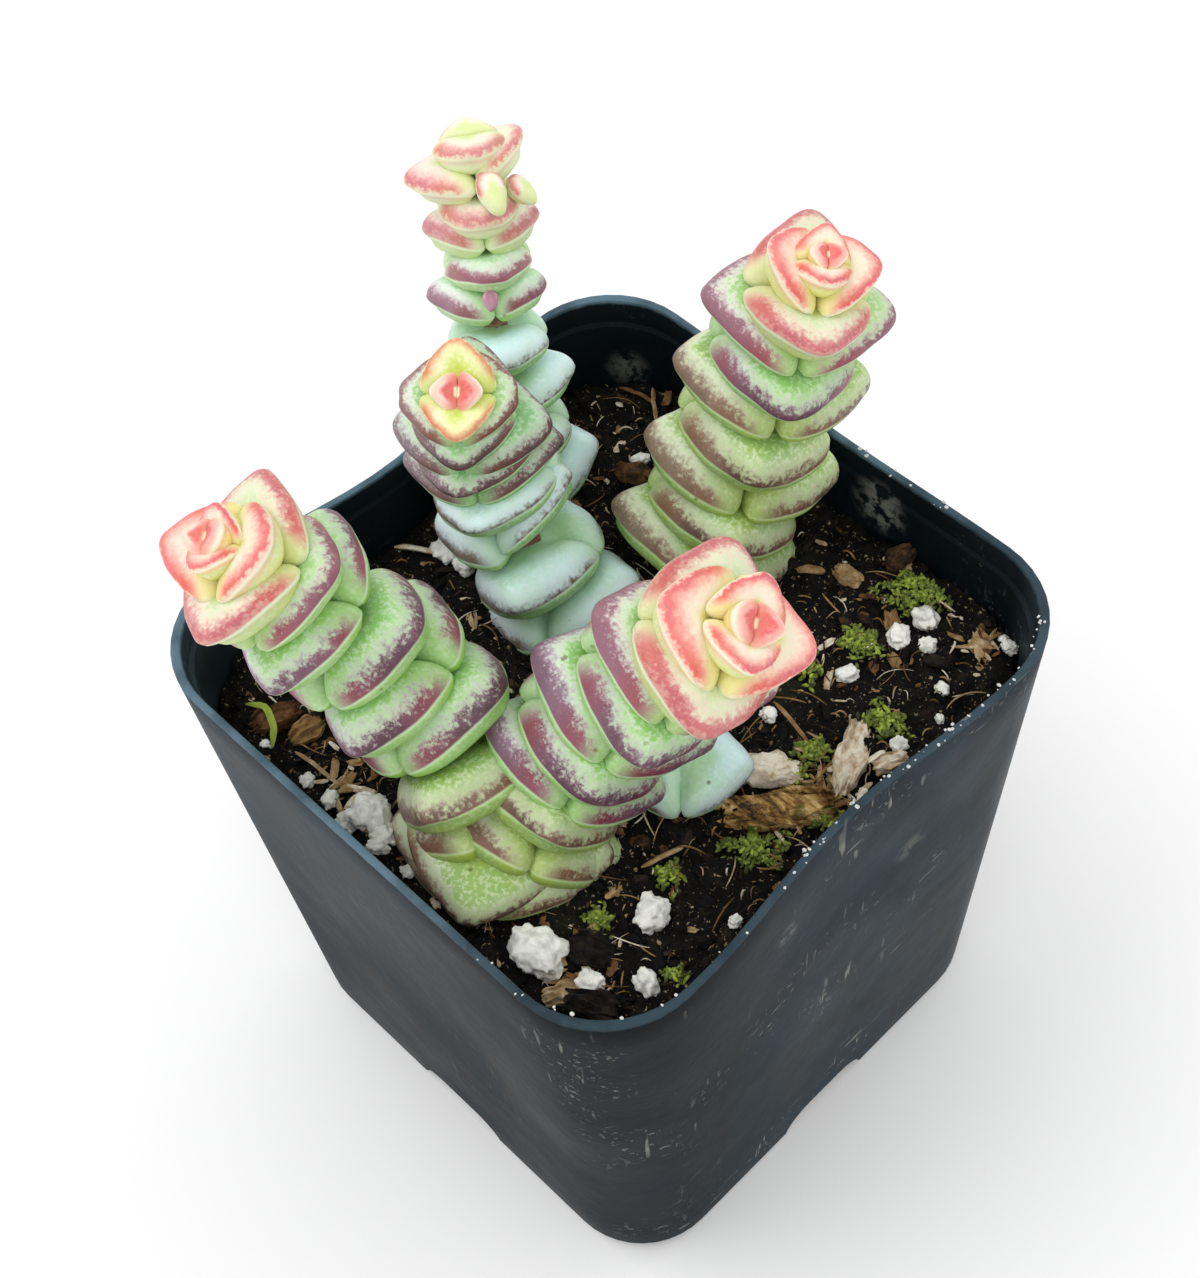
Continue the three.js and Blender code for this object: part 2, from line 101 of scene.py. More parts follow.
# Soil
SOIL_LEVEL = 50
SOIL_BACK_RISE = 0.7
SOIL_CORNER_RISE = 1.5
SOIL_CRUMB = 0.35
FINE_WAVE = (0.9, 0.8)
FINE_SHIFT = (1.3, 0.4)
COARSE_WAVE = (0.37, -0.61)
COARSE_SHARE = 0.6
SOIL_GAP = 0.12
SOIL_SHOULDER = 2
# How far from the middle loose things may lie, and how far above the soil
SOIL_REACH = 25.2
LITTER_LIFT = 0.35
# How far crumbs and grains lean, as a share of any way at all
LOOSE_LEAN = 0.2

# Leaves. Outline of a leaf about its middle: degrees from its tip, share of its reach
LEAF_MIDDLE = 0.4
RIM = [
    (0, 0.578), (8, 0.566), (17, 0.536), (38, 0.5), (59, 0.52), (78, 0.59), (92, 0.672), (102, 0.75),
    (110, 0.805), (117, 0.8), (125, 0.7), (140, 0.522), (160, 0.426), (180, 0.4),
]
# How far the belly bulges past the rim, as a share of it: cut back under the tip
BELLY = [
    (0, 0.86), (8, 0.87), (18, 0.91), (30, 0.96), (45, 1.0), (62, 1.03), (80, 1.04), (94, 1.04),
    (104, 1.03), (113, 1.02), (130, 1.0), (180, 1.0),
]
# How much a young leaf's tip is rounded off
YOUNG_TIP = 0.05
# How much smaller a young leaf's belly is
YOUNG_BELLY = 0.12
TIP_SPREAD = 16
# Section of a leaf from its middle over the top to the rim (1) and back underneath (2):
# place on the section, share of the radius, share of the spacing to the next pair
SECTION = [
    (0.0, 0.0, 0.66),
    (0.3, 0.4, 0.65),
    (0.55, 0.68, 0.56),
    (0.8, 0.89, 0.33),
    (0.93, 0.975, 0.15),
    (1.0, 1.0, 0.01),
    (1.08, 0.998, -0.07),
    (1.25, 0.95, -0.2),
    (1.45, 0.83, -0.34),
    (1.7, 0.5, -0.47),
    (2.0, 0.0, -0.5),
]
LEAF_SEGMENTS = 72
LEAF_RINGS = 30
LEAF_WIDTH = (0.84, 0.97)
THICKEST = 0.55
# How much fuller a leaf is behind the stem, where it joins the other of its pair
OLD_JOIN = 0.3
END_LIFT = 0.3
# Waves along the rim and over the top of a leaf, as shares of its reach
RIM_WAVES = (0.012, 0.008)
TOP_WAVE = 0.012
KEEL_WIDTH = 0.16
# How many degrees the lift of a leaf may differ from its pair's
LIFT_SPREAD = 2.5
# Growth: the first full-size pair, the pair where the age begins, and over how many pairs it runs
FIRST_FULL = 3
AGE_FROM = 1.2
AGE_SPAN = 5.5
# Depth of the four youngest pairs, as a share of their reach
CROWN_DEPTH = (1.2, 1.05, 0.85, 0.7)
CROWN_HEIGHT = 0.27
# Leaves that differ from their pair: branch, pair, leaf, and what is different
LEAF_CHANGES = {
    ("tall", 0, 0): {"lift": 12, "width": 1.3, "below": 0.8},
    ("tall", 0, 1): {"lift": 16, "reach": 0.78, "width": 1.4},
    ("tall", 1, 0): {"lift": 30, "below": 0.7},
    ("tall", 1, 1): {"lift": 2, "reach": 1.05, "below": 0.65},
    ("tall", 2, 0): {"below": 0.8},
    ("tall", 2, 1): {"below": 0.8},
    ("tall", 5, 0): {"reach": 0.85},
    ("middle", 2, 0): {"blunt": 0.12, "width": 1.06},
    ("middle", 2, 1): {"blunt": 0.12, "width": 1.06},
    ("middle", 8, 1): {"lift": 26, "below": 0.7},
    ("front_left", 9, 1): {"reach": 0.6},
    ("front_left", 10, 1): {"reach": 0.8},
}
# Where a branch's leaves take another finish: from which pair on, and which
LOWER_FINISH = {
    "middle": (7, "bare"), "tall": (6, "bare"), "front_left": (9, "low"), "front_right": (9, "low"),
    "back_right": (6, "low"),
}
# Small buds on a branch: branch, down from its tip, turn about it, out from it, reach, width, finish, age
SIDE_BUDS = [
    ("tall", 2.0, -21, 4.1, 3.4, 0.7, "pale", 0.0),
    ("tall", 3.3, 23, 4.1, 2.6, 0.8, "pale", 0.0),
    ("tall", 11.6, -41, 4.8, 1.6, 0.8, "bump", 1.0),
]
LOW_SPACING = 3

# Stems
STEM_RADIUS = 1.2
STEM_TIP_SHARE = 0.75
STEM_DEPTH = 8
FORK_ROOT = (6.3, -17.7, 49.1)
CROTCH_DROP = 4.2

# The five leafy branches. path: four Bezier points from the soil up to the tip.
# spacings: from pair to pair, the tip first. solid: how many top pairs form the bud.
# turn: direction of the top leaf. reach: stem centre to leaf tip for young and old pairs.
# crown: size shares of the top four pairs. lifts: upward fold of the top five pairs, then lift.
# finish: leaf material. start: how grown up the top pair's colour is, from 0 to 1.
BRANCHES = {
    "front_left": {
        "path": [FORK_ROOT, (-3.4, -12.5, 57.9), (-9.6, -18.9, 68.8), (-13.3, -25.1, 83.6)],
        "spacings": [1.3, 1.4, 2.2, 3, 3.6, 5.4, 5.4, 4.6, 6.9],
        "solid": 2, "turn": -149, "reach": (7.7, 8.8), "crown": [0.31, 0.47, 0.79, 1],
        "lifts": [30, 36, 26, 17, 11], "lift": 6, "joined": True, "finish": "coral", "start": 0.0,
    },
    "front_right": {
        "path": [FORK_ROOT, (4.2, -7.8, 58), (10.2, -3.9, 68.7), (18.9, -2.4, 80.2)],
        "spacings": [1.7, 2.2, 3.2, 4, 4.3, 4.6, 4.4, 3.8, 3.8],
        "solid": 2, "turn": -139, "reach": (8.5, 8.3), "crown": [0.31, 0.58, 0.84, 1],
        "lifts": [30, 33, 21, 16, 13], "lift": 5, "joined": True, "finish": "coral", "start": 0.0,
    },
    "middle": {
        "path": [(-8, 2.9, 49), (-13.9, 1.9, 60), (-18.4, 3, 69.1), (-14.8, -0.2, 77)],
        "spacings": [0.9, 1.5, 2.1, 2.6, 2, 2.3, 2.6, 4.8, 5, 5],
        "solid": 2, "turn": 218, "reach": (6.7, 7.8), "crown": [0.38, 0.7, 0.8, 0.9],
        "lifts": [30, 22, 11, 9, 0], "lift": 5, "joined": False, "finish": "golden", "start": 0.4,
        "ages": [0, 0.06, 0.5],
    },
    "tall": {
        "path": [(-20.5, 11, 49), (-18.6, 6.4, 58), (-24.5, 12.2, 69.6), (-27.7, 14.3, 84.6)],
        "spacings": [2.1, 3, 2.7, 3, 3.2, 4.4, 4.7, 4.6, 5.1],
        "solid": 1, "turn": -37, "reach": (4.9, 6.8), "crown": [0.75, 1.12, 1.05, 1.05],
        "lifts": [48, 17, 3, 12, 10], "lift": 8, "joined": False, "finish": "pale", "start": 0.0,
    },
    "back_right": {
        "path": [(-3.7, 12.5, 49), (-2.5, 21.4, 60.5), (-2.3, 22.8, 73), (2.4, 23.9, 85.4)],
        "spacings": [1.6, 1.6, 2.4, 3, 3.7, 4.2, 5.1, 5.1, 4.4, 4.4],
        "solid": 2, "turn": 225, "reach": (8.2, 8.9), "crown": [0.22, 0.44, 0.71, 0.92],
        "lifts": [30, 34, 32, 16, 12], "lift": 5, "joined": False, "finish": "coral", "start": 0.0,
    },
}
STEMS = {
    "fork_stem": ("front_left", "front_right"),
    "middle_stem": ("middle",),
    "tall_stem": ("tall",),
    "back_right_stem": ("back_right",),
}
LOW_PAIRS = {
    "fork_pair_2": {"at": (3.9, -17.2, 52.2), "up": (0.05, -0.05, 1), "turn": -58, "reach": 9.2, "lift": 0},
    "fork_pair_3": {"at": (4.5, -17.4, 50.8), "up": (0, 0, 1), "turn": 31, "reach": 9.5, "lift": 0},
    "shoot_pair": {"at": (11, -2.6, 51.6), "up": (0.1, -0.1, 1), "turn": 42, "reach": 6, "lift": 4},
}

# Loose things on the soil: x, y, then size in millimetres
PERLITE = [
    (18.4, -13.8, 3.6), (19.2, -21.6, 2.5), (22.4, -18.4, 2.8), (16.1, 22.2, 2.6), (15.6, 19.2, 2.5),
    (18.1, 20.1, 1.7), (21.8, 17.7, 1.5), (14.7, 13.8, 2.2), (-14.8, 18.5, 2.0), (-16.9, -24.8, 1.2),
    (-11.8, -24.6, 1.6), (0.9, -24.6, 1.4), (-6.2, -25.0, 2.6), (-5.1, -23.4, 4.0), (-2.9, -23.7, 2.7),
    (-2.3, -25.0, 2.2), (-8.9, -24.6, 1.9), (-20.5, -0.1, 3.4), (-18.3, -0.3, 2.4), (22.6, 11.3, 1.6),
    (23.7, -9.7, 1.3), (23.3, 24.6, 1.6), (22.4, 24.9, 1.0), (23.4, 15.6, 1.2), (12.5, 6.3, 1.6),
]
BARK_FLAKES = [
    # x, y, turn, length, width, height, shade
    (16.0, 2.4, 35, 5.2, 3.2, 1.5, 1.0),
    (20.6, 7.6, 118, 6.4, 2.4, 1.2, 0.95),
    (23.2, 9.6, 60, 2.8, 1.6, 0.9, 0.9),
    (10.2, 25.6, 80, 2.8, 2.0, 1.5, 0.45),
    (17.2, -19.6, 20, 3.6, 2.8, 1.2, 0.25),
    (20.8, -23.0, 28, 4.0, 2.4, 1.6, 0.3),
    (18.2, -23.8, 60, 2.6, 2.2, 1.2, 0.85),
    (8.0, 21.4, 10, 2.6, 1.6, 1.0, 0.75),
    (14.0, 20.3, 140, 2.2, 1.4, 0.9, 0.7),
    (-18.4, -22.5, 70, 4.2, 2.2, 1.2, 0.5),
    (-21.4, -19.0, 20, 3.4, 2.4, 1.3, 0.35),
    (-15.2, -21.6, 80, 3.0, 2.0, 1.1, 0.65),
    (-14.0, 17.0, 20, 3.4, 2.0, 1.2, 0.5),
    (-4.0, 2.5, 110, 4.0, 2.4, 1.4, 0.45),
]
MOSS = [
    # x, y, spread, leaflets
    (13.4, 23.9, 2.4, 340), (13.5, 16.7, 1.7, 220), (20.3, 12.4, 1.7, 200), (20.4, -3.6, 2.0, 220),
    (17.0, -10.4, 1.3, 120), (15.6, -17.0, 1.2, 100), (23.4, -16.4, 1.0, 70), (20.6, -23.2, 1.2, 110),
    (11.6, 12.0, 1.4, 130), (17.6, 6.0, 1.4, 140), (18.4, 3.4, 1.0, 90), (22.4, 2.4, 1.5, 140),
]
STRAWS = [
    # ends x, y and x, y, width, shade
    (14.6, -11.2, 15.9, -7.6, 0.7, 0.75),
    (-24.2, -3.4, -21.0, -0.9, 0.8, 0.95),
    (-14.5, -23.6, -9.4, -23.0, 0.6, 0.8),
    (-22.6, 23.6, -18.6, 24.4, 0.6, 0.6),
    (-20.0, 25.4, -17.2, 23.0, 0.6, 0.75),
    (19.6, 21.4, 22.6, 23.6, 0.5, 0.85),
    (11.9, 7.6, 17.0, 6.4, 0.6, 0.7),
]
DEBRIS = [
    # x, y, spread, pale chips
    (20.6, 3.8, 3.6, 90), (18.0, -21.6, 2.2, 28), (21.2, 23.6, 1.8, 22), (-9.0, -22.6, 2.4, 24),
]
GREEN_SPROUT = [(-21.2, -23.4), (-19.2, -22.6), (-17.3, -23.4), (-16.2, -24.6)]

# Camera: degrees, millimetres and pixels that place it as in the photograph
CAMERA_AZIMUTH = 50.74
CAMERA_ELEVATION = 55.93
CAMERA_ROLL = -6.71
CAMERA_DISTANCE = 243.96
CAMERA_SHIFT = (-4.31, 31.54)
CAMERA_FOCAL = 2352.54
IMAGE_HEIGHT = 1278
SENSOR = 36


def tint(code):
    """Linear colour of a six-figure screen colour."""
    parts = [int(code[i:i + 2], 16) / 255 for i in (0, 2, 4)]
    return tuple(p / 12.92 if p <= 0.04045 else ((p + 0.055) / 1.055) ** 2.4 for p in parts)


# Settings that a user would change


def length(name, description, value):
    """A length property with its default in millimetres."""
    return bpy.props.FloatProperty(
        name=name, description=description, default=value * MM, unit="LENGTH", subtype="DISTANCE"
    )


def colour(name, description, code):
    """A colour property with its default as a screen colour."""
    return bpy.props.FloatVectorProperty(
        name=name, description=description, default=tint(code), size=3, subtype="COLOR", min=0, max=1
    )


class JadePotSettings(bpy.types.PropertyGroup):
    """Sizes and colours of the pot"""

    foot_width: length("Foot width", "Width of the pot across its foot", 2 * FOOT_HALF)
    top_width: length("Top width", "Width of the pot across its rim", 2 * TOP_HALF)
    plastic: colour("Plastic", "Colour of the pot's plastic", "121a1f")
    painted_wall_sheen: colour("Painted wall sheen", "Colour of the paler parts of the walls", "56656f")
    # Colour of the painted light and painted sheen on the walls
    rim_wear_and_highlight: colour("Rim wear and highlight", "Colour of the rim's wear and painted highlight", "5c7482")
    # Colour of the scratches and residue, also used for the painted glints and the painted reflection
    scuffs_and_glints: colour("Scuffs and painted glints", "Colour of the scratches, dried residue and painted glints", "a9a9a3")
# Colour of the rim's wear and of its painted highlight


class JadeSoilSettings(bpy.types.PropertyGroup):
    """Sizes and colours of the soil and the loose things on it"""

    crumbs: bpy.props.IntProperty(
        name="Crumbs", description="How many crumbs lie on the soil", default=2900, min=0, max=4000
    )
    fibres: bpy.props.IntProperty(
        name="Fibres", description="How many thin fibres lie on the soil", default=900, min=0, max=1500
    )
    dark: colour("Dark soil", "Colour of damp soil", "0a0806")
    brown: colour("Brown soil", "Colour of dry soil", "2c2118")
    straw: colour("Straw", "Colour of straw and dry bark", "b89f7c")
    perlite: colour("Perlite", "Colour of the perlite", "f4f3ee")
    moss: colour("Moss", "Colour of the moss", "a9bd45")


class JadeLeafSettings(bpy.types.PropertyGroup):
    """Sizes and colours of the plant"""

    fullness: bpy.props.FloatProperty(
        name="Fullness", description="Size of the leaves", default=1.03, min=0.8, max=1.2, subtype="FACTOR"
    )
    young_upper: colour("Young top", "Top of the young leaves of the three large branches", "e4eacb")
    old_upper: colour("Old top", "Top of the old leaves of the three large branches", "98c97a")
    young_band: colour("Young band", "Band along the rim of young leaves", "ea8078")
    old_band: colour("Old band", "Band along the rim of old leaves", "7c5467")
    young_lip: colour("Young lip", "Thin edge of young leaves", "f0f0d6")
    old_lip: colour("Old lip", "Thin edge of old leaves", "cde0bd")
    bark: colour("Bark", "Bare stem", "7a5140")


class JadeStageSettings(bpy.types.PropertyGroup):
    """Floor and light"""

    floor: colour("Floor", "Colour of the floor", "f3f3f3")
    light: bpy.props.FloatProperty(
        name="Light", description="Power of the large lamp overhead", default=2.35, min=0,
        subtype="POWER", unit="POWER",
    )
    sky: bpy.props.FloatProperty(
        name="Sky", description="Strength of the even light all round", default=0.9, min=0, max=4
    )


# Shared ways of working


def start_clean():
    """Object mode with nothing selected."""
    if bpy.context.object and bpy.context.object.mode != "OBJECT":
        bpy.ops.object.mode_set(mode="OBJECT")
    bpy.ops.object.select_all(action="DESELECT")


def name_new(name):
    """Names the object that an operator has just made."""
    made = bpy.context.object
    made.name = name
    made.data.name = name
    return made


def take_up(made):
    """Selects one object alone."""
    bpy.ops.object.select_all(action="DESELECT")
    made.select_set(True)
    bpy.context.view_layer.objects.active = made


def settle(made):
    """Puts an object's place into its mesh."""
    take_up(made)
    bpy.ops.object.transform_apply(location=True, rotation=True, scale=True)


def corners_of(mesh):
    """All the places of a mesh as rows of three."""
    places = np.empty(len(mesh.vertices) * 3)
    mesh.vertices.foreach_get("co", places)
    return places.reshape(-1, 3)


def set_corners(mesh, places):
    """Moves all the points of a mesh."""
    mesh.vertices.foreach_set("co", np.asarray(places, dtype=np.float32).ravel())
    mesh.update()


def finish_piece(made, material, slot, *nodes, angle=40):
    """Shades a piece, gives it its material and body, and hides the nodes that it stands for."""
    take_up(made)
    bpy.ops.object.shade_smooth_by_angle(angle=math.radians(angle))
    made.data.materials.clear()
    made.data.materials.append(material)
    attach(made, BODY)
    if nodes:
        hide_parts(*nodes)


def take_shape():
    """Places and faces of the model just made, which is then removed: copies are made from them."""
    model = bpy.context.object
    faces = [tuple(face.vertices) for face in model.data.polygons]
    shape = corners_of(model.data), faces
    bpy.data.objects.remove(model, do_unlink=True)
    return shape


def pick_edges(made, wanted):
    """Selects the edges that pass a test, in edit mode."""
    bpy.ops.mesh.select_all(action="DESELECT")
    bpy.ops.mesh.select_mode(type="EDGE")
    sheet = bmesh.from_edit_mesh(made.data)
    for edge in sheet.edges:
        edge.select = wanted(edge)
    bmesh.update_edit_mesh(made.data)


def rod_shape(sides, cuts):
    """A rod along Z from 0 to 1, cut into short lengths."""
    bpy.ops.mesh.primitive_cylinder_add(vertices=sides, radius=1, depth=1, location=(0, 0, 0.5))
    model = name_new("rod_model")
    settle(model)
    bpy.ops.object.mode_set(mode="EDIT")
    pick_edges(model, lambda edge: abs(edge.verts[0].co.z - edge.verts[1].co.z) > 0.5)
    bpy.ops.mesh.subdivide(number_cuts=cuts)
    bpy.ops.object.mode_set(mode="OBJECT")
    return take_shape()


def rotation(angle, axis="Z"):
    """What rows of places are multiplied by to turn them, by an angle in radians."""
    return np.array(Matrix.Rotation(angle, 3, axis)).T


def gather(name, copies, kinds=("shade",)):
    """One object from many copies. copies: (places, faces, values of each kind) for each."""
    places = []
    faces = []
    values = []
    count = 0
    for copy_places, copy_faces, numbers in copies:
        places.append(copy_places)
        faces.extend(tuple(corner + count for corner in face) for face in copy_faces)
        values.append(np.broadcast_to(numbers, (len(kinds), len(copy_places))))
        count += len(copy_places)
    mesh = bpy.data.meshes.new(name)
    mesh.from_pydata(np.concatenate(places).tolist(), [], faces)
    for kind, numbers in zip(kinds, np.concatenate(values, axis=1)):
        attribute = mesh.attributes.new(kind, "FLOAT", "POINT")
        attribute.data.foreach_set("value", numbers.astype(np.float32))
    made = bpy.data.objects.new(name, mesh)
    bpy.context.scene.collection.objects.link(made)
    return made


def build_piece(name, copies, *finish, kinds=("shade",), angle=40):
    """A finished piece from many copies. finish: its material, a slot that is not used, and the nodes it
    stands for.
    """
    finish_piece(gather(name, copies, kinds), *finish, angle=angle)


def through(knots, at):
    """Smooth line through (place, value) knots, read at many places."""
    x, y = np.array(knots, float).T
    slope = np.gradient(y, x)
    i = np.clip(np.searchsorted(x, at, side="right") - 1, 0, len(x) - 2)
    span = x[i + 1] - x[i]
    t = (at - x[i]) / span
    rest = 1 - t
    ends = rest * rest * (1 + 2 * t) * y[i] + t * t * (3 - 2 * t) * y[i + 1]
    return ends + t * rest * span * (rest * slope[i] - t * slope[i + 1])


def mix(low, high, share):
    """Value between two others."""
    return low + (high - low) * share


def smooth_step(low, high, value):
    """Soft step from 0 to 1."""
    share = np.clip((value - low) / (high - low), 0, 1)
    return share * share * (3 - 2 * share)


# Materials


def full_colour(value):
    """The four numbers of a screen colour, or of a colour of three numbers."""
    return (*(tint(value) if isinstance(value, str) else value), 1)


def scaled(colour, share):
    """A colour made darker or lighter."""
    return tuple(part * share for part in colour)


class Paint:
    """Adds the shader nodes of one material. Noise scales are in lumps per metre."""

    def __init__(self, name, roughness, **inputs):
        self.material = bpy.data.materials.new(name)
        self.material.use_nodes = True
        self.tree = self.material.node_tree
        self.shader = next(node for node in self.tree.nodes if node.type == "BSDF_PRINCIPLED")
        self.place = self.add("TexCoord", {}, "Object")
        self.set_up(roughness=roughness, **inputs)

    def set_up(self, **inputs):
        """Sets or links inputs of the shader. Their names have _ for each space."""
        for name, value in inputs.items():
            title = name.replace("_", " ").title().replace("Ior", "IOR")
            self.put(self.shader.inputs[title], value)

    def put(self, socket, value):
        """Links a socket to another node, or sets its value."""
        if isinstance(value, bpy.types.NodeSocket):
            self.tree.links.new(value, socket)
        else:
            socket.default_value = full_colour(value) if socket.type == "RGBA" else value

    def add(self, kind, inputs, output=0, **settings):
        """Adds a node with its settings and inputs, and gives one of its outputs."""
        node = self.tree.nodes.new(f"ShaderNode{kind}")
        for name, value in settings.items():
            setattr(node, name, value)
        for name, value in inputs.items():
            self.put(node.inputs[name], value)
        return node.outputs[output]

    def value(self, name):
        """A number that the mesh carries at each point."""
        return self.add("Attribute", {}, "Fac", attribute_name=name)

    def sums(self, operation, *values, **settings):
        """One sum on two or more numbers, from left to right."""
        result, *others = values
        for other in others:
            result = self.add("Math", {0: result, 1: other}, operation=operation, **settings)
        return result

    def times(self, *values):
        """Numbers multiplied."""
        return self.sums("MULTIPLY", *values)

    def most(self, *values):
        """The largest of some numbers."""
        return self.sums("MAXIMUM", *values)

    def between(self, share, low, high):
        """Number between two others, by a share from 0 to 1."""
        return self.sums("ADD", self.times(share, high - low), low)

    def sway(self, value, grain, share, **settings):
        """A number moved up and down by noise."""
        return self.sums("ADD", value, self.times(self.sums("SUBTRACT", grain, 0.5), share), **settings)

    def step(self, value, low, high, out_low=0.0, out_high=1.0):
        """Soft step of a number between two bounds."""
        inputs = {"Value": value, "From Min": low, "From Max": high, "To Min": out_low, "To Max": out_high}
        return self.add("MapRange", inputs, interpolation_type="SMOOTHSTEP")

    def blend(self, share, first, second):
        """Mixes two colours."""
        return self.add("Mix", {"Factor": share, 6: first, 7: second}, 2, data_type="RGBA")

    def noise(self, scale, detail=4.0, roughness=0.55, stretch=None, place=None):
        """Cloudy noise. stretch: the scale along each axis, then the turn about it."""
        place = place or self.place
        if stretch:
            place = self.add("Mapping", {"Vector": place, "Scale": stretch[0], "Rotation": stretch[1]})
        inputs = {"Vector": place, "Scale": scale, "Detail": detail, "Roughness": roughness}
        return self.add("TexNoise", inputs, "Fac")

    def patches(self, scale, detail, *bounds):
        """Soft patches: a step in cloudy noise."""
        return self.step(self.noise(scale, detail), *bounds)

    def cells(self, scale):
        """Distance to the nearest of scattered points."""
        return self.add("TexVoronoi", {"Vector": self.place, "Scale": scale}, "Distance")

    def ramp(self, share, stops):
        """Colour ramp. stops: (place, colour) from low to high."""
        colours = self.add("ValToRGB", {0: share})
        elements = colours.node.color_ramp.elements
        for element, (place, _) in zip(elements, (stops[0], stops[-1])):
            element.position = place
        for place, _ in stops[1:-1]:
            elements.new(place)
        for element, (_, colour) in zip(elements, stops):
            element.color = full_colour(colour)
        return colours

    def finish(self, colour, *bumps):
        """The material with its colour, and bumps over each other: height, strength, distance."""
        normal = {}
        for height, strength, distance in bumps:
            inputs = {"Height": height, "Strength": strength, "Distance": distance, **normal}
            normal = {"Normal": self.add("Bump", inputs)}
        for name, value in {"Base Color": colour, **normal}.items():
            self.put(self.shader.inputs[name], value)
        return self.material


def pot_material(settings):
    """Dark moulded plastic with a worn rim that also carries a painted highlight, painted light and a
    painted sheen on the walls, scratches, dried residue and painted glints.
    """
    paint = Paint("pot_plastic", 0.42, specular_ior_level=0.03)
    step, times, blend = paint.step, paint.times, paint.blend
    x, y, height = paint.add("SeparateXYZ", {0: paint.place}).node.outputs
    cloudy = paint.noise(60, 5)
    fine = paint.noise(900, 3)
    darker, paler = (scaled(settings.plastic, share) for share in (0.72, 1.25))
    base = blend(step(cloudy, 0.35, 0.7), darker, paler)
    base = blend(paint.patches(35, 2, 0.45, 0.75, 0, 0.3), base, "1f2a32")
    reddish = paint.noise(48, 2, stretch=((1, 1, 1.4), (0.4, 0.2, 1)))
    base = blend(step(reddish, 0.5, 0.75, 0, 0.3), base, "27262c")
    # Painted light: the wall at -Y is painted paler and bluer towards its top, and the wall at +X gets a
    # painted sheen away from the front corner
    upper_wall = times(
        step(y, -0.014, -0.026), step(height, 0.016, 0.057), step(x, 0.021, -0.004),
        step(cloudy, 0.3, 0.7, 0.05, 0.4),
    )
    side_clouds = paint.patches(110, 4, 0.3, 0.75, 0.1, 0.26)
    side_wall = times(step(x, 0.021, 0.025), step(y, -0.02, -0.002), side_clouds)
    # Painted light and painted sheen on the walls
    base = blend(paint.most(upper_wall, side_wall), base, settings.painted_wall_sheen)
    # Scratches run at a slant and are denser on the wall at +X
    slant = paint.noise(1300, 2, 0.5, ((1, 1, 0.12), (0.9, 0.35, 0.8)))
    other_slant = paint.noise(1200, 2, 0.5, ((1, 0.14, 1), (0.5, 0.6, 0.4)))
    lines = paint.most(step(slant, 0.64, 0.7), step(other_slant, 0.645, 0.7))
    patches = paint.patches(95, 3, 0.48, 0.66)
    wall_share = step(x, 0.015, 0.027, 0.25, 1)
    specks = times(paint.patches(1500, 2, 0.61, 0.69), patches, wall_share)
    marks = paint.most(times(lines, patches, wall_share), times(specks, 0.6))
    flaky = step(paint.noise(600, 4, 0.7), 0.42, 0.56)
    # Residue spots, among them painted glints at the inner back corner and a painted reflection on the wall
    # at +X
    for *spot, spread, share in RESIDUES_AND_PAINTED_GLINTS:
        spot = [number * MM for number in spot]
        away = paint.add("VectorMath", {0: paint.place, 1: spot}, "Value", operation="DISTANCE")
        near = step(away, spread * MM, spread * MM * 0.3, 0, share)
        marks = paint.most(marks, times(near, flaky))
    base = blend(times(marks, 0.5), base, settings.scuffs_and_glints)
    # Pale rim: partly wear and partly a painted highlight, strongest towards -X, with dark patches
    top = POT_HEIGHT * MM
    rim = step(paint.sums("ADD", height, times(fine, 0.0004)), top - 0.0003, top + 0.0001)
    rim_wear_and_highlight_mask = times(rim, paint.patches(250, 4, 0.3, 0.6, 0.45, 0.95), step(x, 0.002, 0.02, 1, 0.3))
    base = blend(rim_wear_and_highlight_mask, base, settings.rim_wear_and_highlight)
    paint.set_up(roughness=paint.sums("ADD", step(cloudy, 0.3, 0.7, 0.36, 0.5), times(marks, 0.3)))
    waviness = paint.noise(260, 4)
    return paint.finish(base, (waviness, 0.25, 0.0003), (fine, 0.2, 0.00008), (marks, 0.5, 0.00008))


def crust_material():
    """White mineral crust on the rim."""
    paint = Paint("mineral_crust", 0.9)
    grain = paint.noise(2500, 4)
    return paint.finish(paint.blend(grain, "8f9698", "f1f1ec"), (grain, 0.6, 0.0002))


def soil_material(settings):
    """Damp potting soil with pale flecks and a little green."""
    paint = Paint("potting_soil", 0.92, specular_ior_level=0.25)
    dark, brown = settings.dark, settings.brown
    stops = [(0.3, scaled(dark, 0.3)), (0.52, dark), (0.7, brown), (0.82, "5c4731")]
    base = paint.ramp(paint.noise(700, 6, 0.7), stops)
    base = paint.blend(paint.times(paint.patches(2600, 3, 0.63, 0.68), 0.75), base, "b3a27e")
    base = paint.blend(paint.patches(140, 3, 0.58, 0.7, 0, 0.35), base, "2c3012")
    return paint.finish(base, (paint.noise(1400, 5, 0.7), 0.9, 0.0005))


def litter_material(name, settings):
    """Crumbs, fibres and bark: each carries its own shade from damp black to straw."""
    paint = Paint(name, 0.88, specular_ior_level=0.25)
    streaks = paint.noise(900, 4, 0.6, ((1, 0.22, 1), (0, 0, 0.7)))
    grain = paint.times(paint.sums("ADD", paint.noise(1600, 5, 0.65), streaks), 0.5)
    share = paint.sway(paint.value("shade"), grain, 0.9, use_clamp=True)
    stops = [
        (0.0, scaled(settings.dark, 0.45)), (0.22, settings.dark), (0.4, settings.brown), (0.55, "6b4a2c"),
        (0.7, "8f7146"), (0.86, settings.straw), (1.0, "e6dccb"),
    ]
    return paint.finish(paint.ramp(share, stops), (grain, 0.8, 0.0004))


